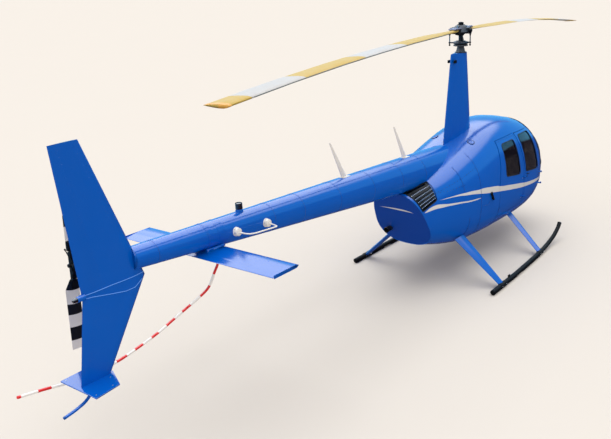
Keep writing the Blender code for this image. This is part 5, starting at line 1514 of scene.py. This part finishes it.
@dataclass
class Boom:
    """Ring joints and rivets along the boom, the stabilizer's straps and rivets, antenna feet and beacon."""

    rings: tuple[float, ...] = (1.310, 1.830, 2.420, 3.040, 3.640, 4.080, 4.930, 5.480)
    per_ring: int = 26

    @staticmethod
    def height(y: float) -> float:
        """Returns the height of the boom's axis at a station."""
        return 1.753 + 0.0722 * (y - 4.0)

    @staticmethod
    def radius(y: float) -> float:
        """Returns the boom's radius at a station."""
        return 0.1486 - 0.0301 * (y - 4.0)

    def round(self, y: float, angle: float, out: float = 0.0) -> tuple[Vector, Vector]:
        """Returns the point and normal on the boom at a station and an angle in radians from its left side."""
        normal = Vector((math.cos(angle), 0.03, math.sin(angle))).normalized()
        reach = self.radius(y) + out
        return Vector((reach * math.cos(angle), y, self.height(y) + reach * math.sin(angle))), normal

    def build(self) -> None:
        """Makes the boom's details."""
        joints, heads = Form(), []
        for y in self.rings:
            covered = 1.2 if y < 1.9 else 0.0
            turn = [
                a for a in angles(64) if not (covered and 3 * math.pi / 2 - covered < a < 3 * math.pi / 2 + covered)]
            if covered:
                turn = [a - 2 * math.pi if a > 3 * math.pi / 2 else a for a in turn]
                turn.sort()
            joints.tube([self.round(y, a, -0.0004)[0] for a in turn], 0.0022, closed=not covered, sides=1)
            for offset in (-0.018, 0.018):
                heads += [
                    self.round(y + offset, a) for a in angles(self.per_ring) if not (covered and math.sin(a) < -0.4)]
        joints.finish("boom_joints", SEAM_BLUE)
        for angle in (-0.5, math.pi + 0.5):
            heads += [self.round(y, angle) for y in fractions(1.95, 4.62, 54)]
        Form().studs(heads, *RIVET).finish("boom_rivets", BLUE)
        self.straps()
        self.stabilizer()
        self.antenna_feet()
        self.beacon()

    def straps(self) -> None:
        """Makes the two straps that hug the boom down to the stabilizer."""
        form = Form()
        for low, high in ((4.776, 4.859), (4.915, 4.975)):
            for sign in (-1, 1):
                path = []
                for a in fractions(math.radians(62), math.radians(-52), 16):
                    point, _normal = self.round((low + high) / 2, a, 0.0012)
                    path.append(Vector((sign * point.x, low, point.z)))
                path.append(path[-1] + Vector((sign * 0.030, 0.0, -0.012)))
                form.ribbon(path, (0.0, high - low, 0.0), 0.0022)
        form.finish("stabilizer_straps", BLUE)

    def stabilizer(self) -> None:
        """Makes the stabilizer's end ribs and rivet rows."""
        plane, heads, ribs = Surface("stabilizer"), [], Form()
        for x in (-0.935, -0.62, -0.34, 0.34, 0.62, 0.935):
            for y in fractions(4.735, 5.015, 9):
                heads.append(plane.drop((x, y, 2.4), (0, 0, -1)))
                heads.append(plane.drop((x, y, 1.2), (0, 0, 1)))
        for x in fractions(-0.90, 0.90, 37):
            if abs(x) > 0.20:
                heads.append(plane.drop((x, 4.815, 2.4), (0, 0, -1)))
        Form().studs(heads, *RIVET).finish("stabilizer_rivets", BLUE)
        for sign in (-1, 1):
            ribs.block((sign * 0.9485 - 0.0015, 4.735, 1.655), (sign * 0.9485 + 0.0015, 5.030, 1.6885), 0.001)
        ribs.finish("stabilizer_end_ribs", BLUE)

    def antenna_feet(self) -> None:
        """Makes the antennas' foot plates and screws, and rings round the side antennas' pucks."""
        feet, screws = Form(), []
        for y in (2.73, 1.45):
            top = self.height(y) + self.radius(y)
            feet.block((-0.030, y - 0.068, top - 0.012), (0.030, y + 0.068, top + 0.003), 0.0015,
                       Matrix.Rotation(math.radians(2.4), 3, "X"))
            screws += [(Vector((x, y + along, top + 0.003 + 0.042 * along)), Vector((0, 0, 1)))
                       for x in (-0.022, 0.022) for along in (-0.052, 0.052)]
        rings = Form()
        for sign in (-1, 1):
            for y in (4.215, 4.610):
                reach = self.radius(y)
                rings.lathe(((0.038, -0.010), (0.043, -0.008), (0.043, 0.004), (0.038, 0.006)),
                            (sign * reach, y, self.height(y)), (sign, 0, 0), 32)
                rings.lathe(((0.0, 0.038), (0.020, 0.0375), (0.031, 0.034), (0.034, 0.030)),
                            (sign * reach, y, self.height(y)), (sign, 0, 0), 32)
        feet.finish("antenna_feet", WHITE)
        rings.finish("side_antenna_rings", WHITE)
        Form().studs(screws, 0.004, 0.0022).finish("antenna_screws", STEEL)

    def beacon(self) -> None:
        """Makes the beacon: a blue spun base and a dark ribbed lens."""
        foot = self.height(4.42) + self.radius(4.42)
        Form().lathe(((0.0, -0.004), (0.038, -0.004), (0.037, 0.010), (0.030, 0.022), (0.029, 0.028), (0.0, 0.028)),
                     (0.0, 4.42, foot), steps=40).finish("beacon_base", BLUE, ["beacon"])
        profile = [(0.0, 0.026), (0.036, 0.026), (0.036, 0.031)]
        for step in range(5):
            low = 0.032 + 0.010 * step
            profile += [(0.0335, low), (0.0348, low + 0.005), (0.0330, low + 0.010)]
        top = 2.000 - foot
        profile += [(0.030, top - 0.008), (0.020, top - 0.001), (0.0, top)]
        Form().lathe(profile, (0.0, 4.42, foot), steps=40).finish("beacon_lens", DARK_LENS)


@dataclass
class Fins:
    """Joint lines and rivets of the fins, the tail light, and the end plate's screws."""

    upper_line: tuple[Point, ...] = ((5.610, 1.742), (5.753, 1.740), (5.939, 1.743), (6.091, 1.739), (6.188, 1.740))
    lower_line: tuple[Point, ...] = (
        (5.640, 1.690), (5.721, 1.645), (5.817, 1.645), (5.952, 1.672), (6.120, 1.706), (6.185, 1.712))
    rivet_rows: tuple[tuple[Point, Point], ...] = (
        ((5.72, 1.80), (6.06, 2.88)), ((6.02, 1.80), (6.20, 2.88)), ((5.72, 1.63), (6.05, 1.05)),
        ((6.08, 1.65), (6.27, 1.05)))

    def build(self) -> None:
        """Makes the fins' details."""
        fins = {True: Surface("upper_fin"), False: Surface("lower_fin")}
        for side, sign in SIDES.items():
            lines, heads = Form(), []
            for path in (self.upper_line, self.lower_line):
                points = [fins[p.z > 1.715].drop((sign * 0.6, p.y, p.z), (-sign, 0, 0))[0]
                          for p in spaced([(0.0, *q) for q in path], 0.03)]
                lines.tube(points, 0.0030, sides=1)
            for low, high in self.rivet_rows:
                for p in spaced([(0.0, *low), (0.0, *high)], 0.050):
                    heads.append(fins[p.z > 1.715].drop((sign * 0.6, p.y, p.z), (-sign, 0, 0)))
            # The joint lines' pale blue is a painted highlight along the joints
            lines.finish(f"fin_joint_lines_{side}", HIGHLIGHT_BLUE)
            Form().studs(heads, *RIVET).finish(f"fin_rivets_{side}", BLUE)
        centre = (-0.030, 6.180, 1.730)
        Form().lathe(((0.0, 0.0), (0.026, 0.0), (0.0265, 0.012), (0.0225, 0.062), (0.0205, 0.066), (0.0, 0.066)),
                     centre, (0, 1, 0), 32).finish("tail_light_housing", BLUE, ["tail_light"])
        Form().lathe(((0.0, 0.064), (0.0195, 0.064), (0.0190, 0.084), (0.0150, 0.098), (0.0080, 0.1045),
                      (0.0, 0.1050)), centre, (0, 1, 0), 32).finish("tail_light_lens", DARK_LENS, slot=Slot.WHITE)
        screws = [(Vector((x, y, 1.010)), Vector((0, 0, 1))) for x, y in ((0.17, 6.34), (0.17, 6.19), (-0.22, 6.34),
                                                                          (-0.21, 6.18), (0.02, 6.10), (-0.09, 6.11))]
        Form().studs(screws, 0.006, 0.003).finish("end_plate_screws", STEEL)
        Form().rod((-0.030, 6.526, 0.8345), (-0.030, 6.529, 0.8343), 0.0125, sides=20).ball(
            (-0.030, 6.520, 0.8355), 0.0128, (1, 0.6, 1)).finish("tail_skid_plug", SATIN_BLACK)


@dataclass
class TailRotor:
    """The tail gearbox casting, the tail rotor's hub, its pitch links and the blades' root cuffs."""

    hub: Point = (0.43, 5.951, 1.82)
    turn: float = 3.2

    def build(self) -> None:
        """Makes the gearbox, the hub and the cuffs."""
        x, y, z = self.hub
        form = Form().lathe(
            ((0.022, -0.006), (0.080, -0.006), (0.082, 0.006), (0.074, 0.012), (0.070, 0.060), (0.074, 0.064),
             (0.074, 0.076), (0.066, 0.082), (0.058, 0.130), (0.060, 0.140), (0.060, 0.152), (0.050, 0.158),
             (0.048, 0.200), (0.022, 0.200), (0.022, -0.006)), (0.0, y, z), (1, 0, 0), 40)
        form.block((-0.004, 5.7085, z - 0.048), (0.073, y - 0.02, z + 0.048), 0.010)
        for a in angles(8):
            form.block((0.010, y + 0.066 * math.cos(a) - 0.004, z + 0.066 * math.sin(a) - 0.004),
                       (0.064, y + 0.066 * math.cos(a) + 0.004, z + 0.066 * math.sin(a) + 0.004), 0.0015)
        form.finish("tail_gearbox_casting", CAST, ["tail_gearbox"])
        bolts = [(Vector((0.075, y + 0.067 * math.cos(a), z + 0.067 * math.sin(a))), Vector((1, 0, 0)))
                 for a in angles(10)]
        bolts += [
            (Vector((0.152, y + 0.054 * math.cos(a), z + 0.054 * math.sin(a))), Vector((1, 0, 0))) for a in angles(8)]
        Form().studs(bolts, 0.005, 0.006, 6).finish("tail_gearbox_bolts", STEEL)
        shaft = Form().rod((0.105, y, z), (x + 0.034, y, z), 0.0178, sides=32, bevel=0.002)
        shaft.rod((x + 0.020, y, z), (x + 0.035, y, z), 0.017, sides=6, bevel=0.001)
        shaft.finish("tail_rotor_shaft", STEEL, ["tail_rotor_hub"], body=Body.TAIL_ROTOR)
        yoke = Form().block((x - 0.020, y - 0.022, z - 0.118), (x + 0.020, y + 0.022, z + 0.118), 0.006)
        yoke.rod((x, y - 0.040, z), (x, y + 0.040, z), 0.016, sides=24, bevel=0.003)
        yoke.lathe(((0.019, -0.010), (0.040, -0.008), (0.044, 0.0), (0.040, 0.008), (0.019, 0.010), (0.019, -0.010)),
                   (x - 0.066, y, z), (1, 0, 0), 32)
        for end in (-1, 1):
            yoke.rod((x - 0.066, y + 0.036, z + end * 0.030), (x - 0.014, y + 0.060, z + end * 0.150), 0.0045)
            yoke.ball((x - 0.014, y + 0.060, z + end * 0.150), 0.008)
            for reach in (0.060, 0.095):
                yoke.rod((x - 0.025, y, z + end * reach), (x + 0.025, y, z + end * reach), 0.010, sides=6)
        yoke.turned(self.turn, "X", self.hub).finish(
            "tail_rotor_yoke", SATIN_BLACK, body=Body.TAIL_ROTOR, slot=Slot.ROTOR)
        cuffs = Form()
        for end in (-1, 1):
            at = z + end * 0.165
            cuffs.block((x - 0.0155, y - 0.030, at - 0.040), (x + 0.0155, y + 0.034, at + 0.040), 0.007)
        cuffs.turned(self.turn, "X", self.hub).finish(
            "tail_blade_cuffs", SATIN_BLACK, body=Body.TAIL_ROTOR, slot=Slot.TAIL_BLADE)


@dataclass
class Guard:
    """The tail rotor's guard: a bent tube in red and white bands, with a clamp under the stabilizer."""

    path: tuple[Point, ...] = (
        (0.0, 4.745, 1.653), (0.0, 4.747, 1.560), (0.012, 4.752, 1.490), (0.040, 4.775, 1.412), (0.080, 4.810, 1.291),
        (0.120, 4.843, 1.223), (0.180, 4.927, 1.144), (0.220, 4.992, 1.095), (0.270, 5.154, 1.008),
        (0.288, 5.346, 0.942), (0.300, 5.774, 0.868), (0.290, 6.151, 0.891), (0.270, 6.491, 0.971),
        (0.250, 6.709, 1.023))
    radius: float = 0.0125

    def build(self) -> None:
        """Makes the tube, with its length on each point for the bands, and the clamp."""
        path = smooth_path(self.path, 8)
        lengths = [0.019]
        for low, high in zip(path, path[1:]):
            lengths.append(lengths[-1] + (high - low).length)
        tube = Form().tube(path, self.radius, sides=3).finish("tail_guard_tube", GUARD, ["tail_rotor_guard"], 60.0)
        along = tube.data.attributes.new("along", "FLOAT", "POINT")
        for vertex, value in zip(tube.data.vertices, along.data):
            place = vertex.co - MAST
            best = min(range(len(path) - 1), key=lambda at: ((path[at] + path[at + 1]) / 2 - place).length)
            step = path[best + 1] - path[best]
            value.value = lengths[best] + (place - path[best]).dot(step) / step.length
        clamp = Form().lathe(((0.0126, 0.0), (0.020, 0.0), (0.020, 0.006), (0.0155, 0.008), (0.0150, 0.030),
                              (0.0126, 0.032), (0.0126, 0.0)), (0.0, 4.745, 1.650), (0, 0, -1), 24)
        clamp.finish("guard_clamp", STEEL)


@dataclass
class LandingGear:
    """Clamps with their sleeves and bolts, end plugs and shoe screws of the skids."""

    skid_x: float = 1.09
    skid_z: float = 0.044
    radius: float = 0.032
    feet: tuple[tuple[float, float, float, float], ...] = ((-0.550, 0.006, 0.0238, 0.052), (0.800, 0.0, 0.0, 0.060))

    def build(self) -> None:
        """Makes the gear's details on both sides."""
        for side, sign in SIDES.items():
            form, bolts = Form(), []
            for y, rise, inwards, half in self.feet:
                x, z = sign * (self.skid_x - inwards), self.skid_z + rise
                tilt = Vector((0.0, 1.0, -0.035 if y < 0 else 0.0))
                for offset in (-half, half):
                    middle = Vector((x, y, z)) + tilt * offset
                    form.lathe(((self.radius + 0.0002, -0.012), (self.radius + 0.0045, -0.010),
                                (self.radius + 0.0045, 0.010), (self.radius + 0.0002, 0.012)), middle, tilt, 32)
                form.lathe(
                    ((self.radius + 0.0002, -half), (self.radius + 0.0025, -half + 0.002),
                     (self.radius + 0.0025, half - 0.002), (self.radius + 0.0002, half)), Vector((x, y, z)), tilt, 32)
                for offset in (-half, half):
                    bolts.append((Vector((x + sign * (self.radius + 0.0045), y + offset, z)), Vector((sign, 0, 0))))
                    bolts.append((Vector((x - sign * (self.radius + 0.0045), y + offset, z)), Vector((-sign, 0, 0))))
            end = Vector((sign * self.skid_x, 1.100, self.skid_z))
            form.lathe(
                ((0.0, 0.0), (0.026, 0.0), (0.031, -0.003), (0.031, -0.010), (0.0, -0.010)), end, (0, 1, 0), 32)
            form.finish(f"skid_clamps_{side}", SKID_BLACK)
            Form().studs(bolts, 0.007, 0.006, 6).finish(f"skid_clamp_bolts_{side}", STEEL)
            shoe = [(Vector((sign * (self.skid_x - inwards) + across, y, 0.0200)),
                     Vector((math.copysign(1, across), 0, 0))) for y, inwards in ((-0.44, 0.020), (-0.16, 0.013),
                                                                                  (0.10, 0.006), (0.42, 0), (0.70, 0),
                                                                                  (1.02, 0)) for across in (-0.0162,
                                                                                                            0.0162)]
            Form().studs(shoe, 0.006, 0.004, 6).finish(f"shoe_screws_{side}", STEEL)


@dataclass
class Studio:
    """The floor, the soft lights and the camera at the photograph's view."""

    camera_at: tuple[float, float, float] = (-4.768, 9.121, 4.021)
    azimuth: float = 216.04
    elevation: float = 19.86
    roll: float = -1.99
    lens: float = 43.18
    shift_px: tuple[float, float] = (-50.0, 16.0)
    frame_px: int = 611
    floor_half: float = 400.0
    suns: tuple[tuple[str, Point, float, float], ...] = (
        ("sky", (0.0, -0.1, 1.0), 70.0, 2.0), ("key", (-0.6, 0.5, 0.7), 35.0, 0.4))
    sun_away: float = 20.0
    mirrored: tuple[tuple[float, str], ...] = (
        (0.0, "1E1B24"), (1.0, "F3FAFF"), (0.32, "1E1B24"), (0.34, "3A6C88"), (0.65, "3A6C88"), (0.71, "C2C8D2"))
    mirrored_strength: float = 5.0

    def build(self) -> None:
        """Makes the floor, the world, the lights and the camera."""
        self.floor()
        self.world()
        self.lights()
        self.camera()

    def floor(self) -> None:
        """Makes the plain pale floor, a wide disc."""
        bm = bmesh.new()
        bmesh.ops.create_circle(bm, cap_ends=True, segments=96, radius=self.floor_half)
        mesh = bpy.data.meshes.new("floor")
        bm.to_mesh(mesh)
        bm.free()
        obj = placed("floor", mesh)
        mesh.materials.append(FLOOR.material())
        obj.visible_glossy = False

    def world(self) -> None:
        """Makes an even pale surround, which reflections see as dark ground under a sky that pales to the left."""
        world = bpy.data.worlds.new("surround")
        bpy.context.scene.world = world
        world.use_nodes = True
        tree = world.node_tree
        height = add(tree, "SeparateXYZ", {0: add(tree, "TexCoord").outputs["Generated"]})
        lean = add(tree, "Math", {0: height.outputs["X"], 1: 0.3, 2: height.outputs["Z"]},
                   operation="MULTIPLY_ADD").outputs[0]
        share = add(tree, "MapRange", {"Value": lean, "From Min": -0.5, "From Max": 1.0})
        mirrored = add(tree, "ValToRGB", {0: share.outputs[0]}, ramp=self.mirrored)
        glossy = add(tree, "LightPath").outputs["Is Glossy Ray"]
        colour = add(tree, "Mix", {"Factor": glossy, MIX_A: linear("F5EEE6"), MIX_B: mirrored.outputs[0]},
                     data_type="RGBA").outputs[MIX_OUT]
        strength = add(tree, "Mix", {0: glossy, 2: 1.0, 3: self.mirrored_strength}).outputs[0]
        tree.links.new(colour, tree.nodes["Background"].inputs["Color"])
        tree.links.new(strength, tree.nodes["Background"].inputs["Strength"])
        bpy.context.scene.view_settings.view_transform = "Standard"

    def lights(self) -> None:
        """Makes the broad soft suns, which neither the camera nor a reflection sees."""
        for name, toward, angle, strength in self.suns:
            data = bpy.data.lights.new(name, "SUN")
            data.angle, data.energy = math.radians(angle), strength
            lamp = placed(name, data)
            lamp.visible_camera = lamp.visible_glossy = False
            start = Vector(toward) * self.sun_away + MAST
            turn = (start - MAST).to_track_quat("Z", "Y").to_matrix().to_4x4()
            lamp.matrix_world = Matrix.Translation(start) @ turn

    def camera(self) -> None:
        """Makes the camera."""
        data = bpy.data.cameras.new("camera")
        data.sensor_fit, data.sensor_width, data.lens = "HORIZONTAL", 36.0, self.lens
        data.shift_x, data.shift_y = (pixels / self.frame_px for pixels in self.shift_px)
        data.clip_end = 300.0
        azimuth, elevation, roll = (math.radians(a) for a in (self.azimuth, self.elevation, self.roll))
        back = Vector(
            (math.sin(azimuth) * math.cos(elevation), -math.cos(azimuth) * math.cos(elevation), math.sin(elevation)))
        right = (-back).cross(Vector((0.0, 0.0, 1.0))).normalized()
        up = right.cross(-back)
        turned_right = math.cos(roll) * right + math.sin(roll) * up
        turned_up = -math.sin(roll) * right + math.cos(roll) * up
        camera = placed("camera", data)
        turn = Matrix((turned_right, turned_up, back)).transposed().to_4x4()
        camera.matrix_world = Matrix.Translation(Vector(self.camera_at) + MAST) @ turn
        bpy.context.scene.camera = camera


def main() -> None:
    """Builds every sub-assembly in order."""
    logging.basicConfig(level=logging.INFO, format="%(message)s")
    for part in (Studio(), Skins(), Glazing(), DoorFittings(), BodyDetails(), Louvre(), Exhaust(), Seats(), Cabin(),
                 MastTop(), RotorHead(), MainBlades(), Boom(), Fins(), TailRotor(), Guard(), LandingGear()):
        log.info("-- %s", type(part).__name__)
        part.build()


if __name__ == "__main__":
    main()
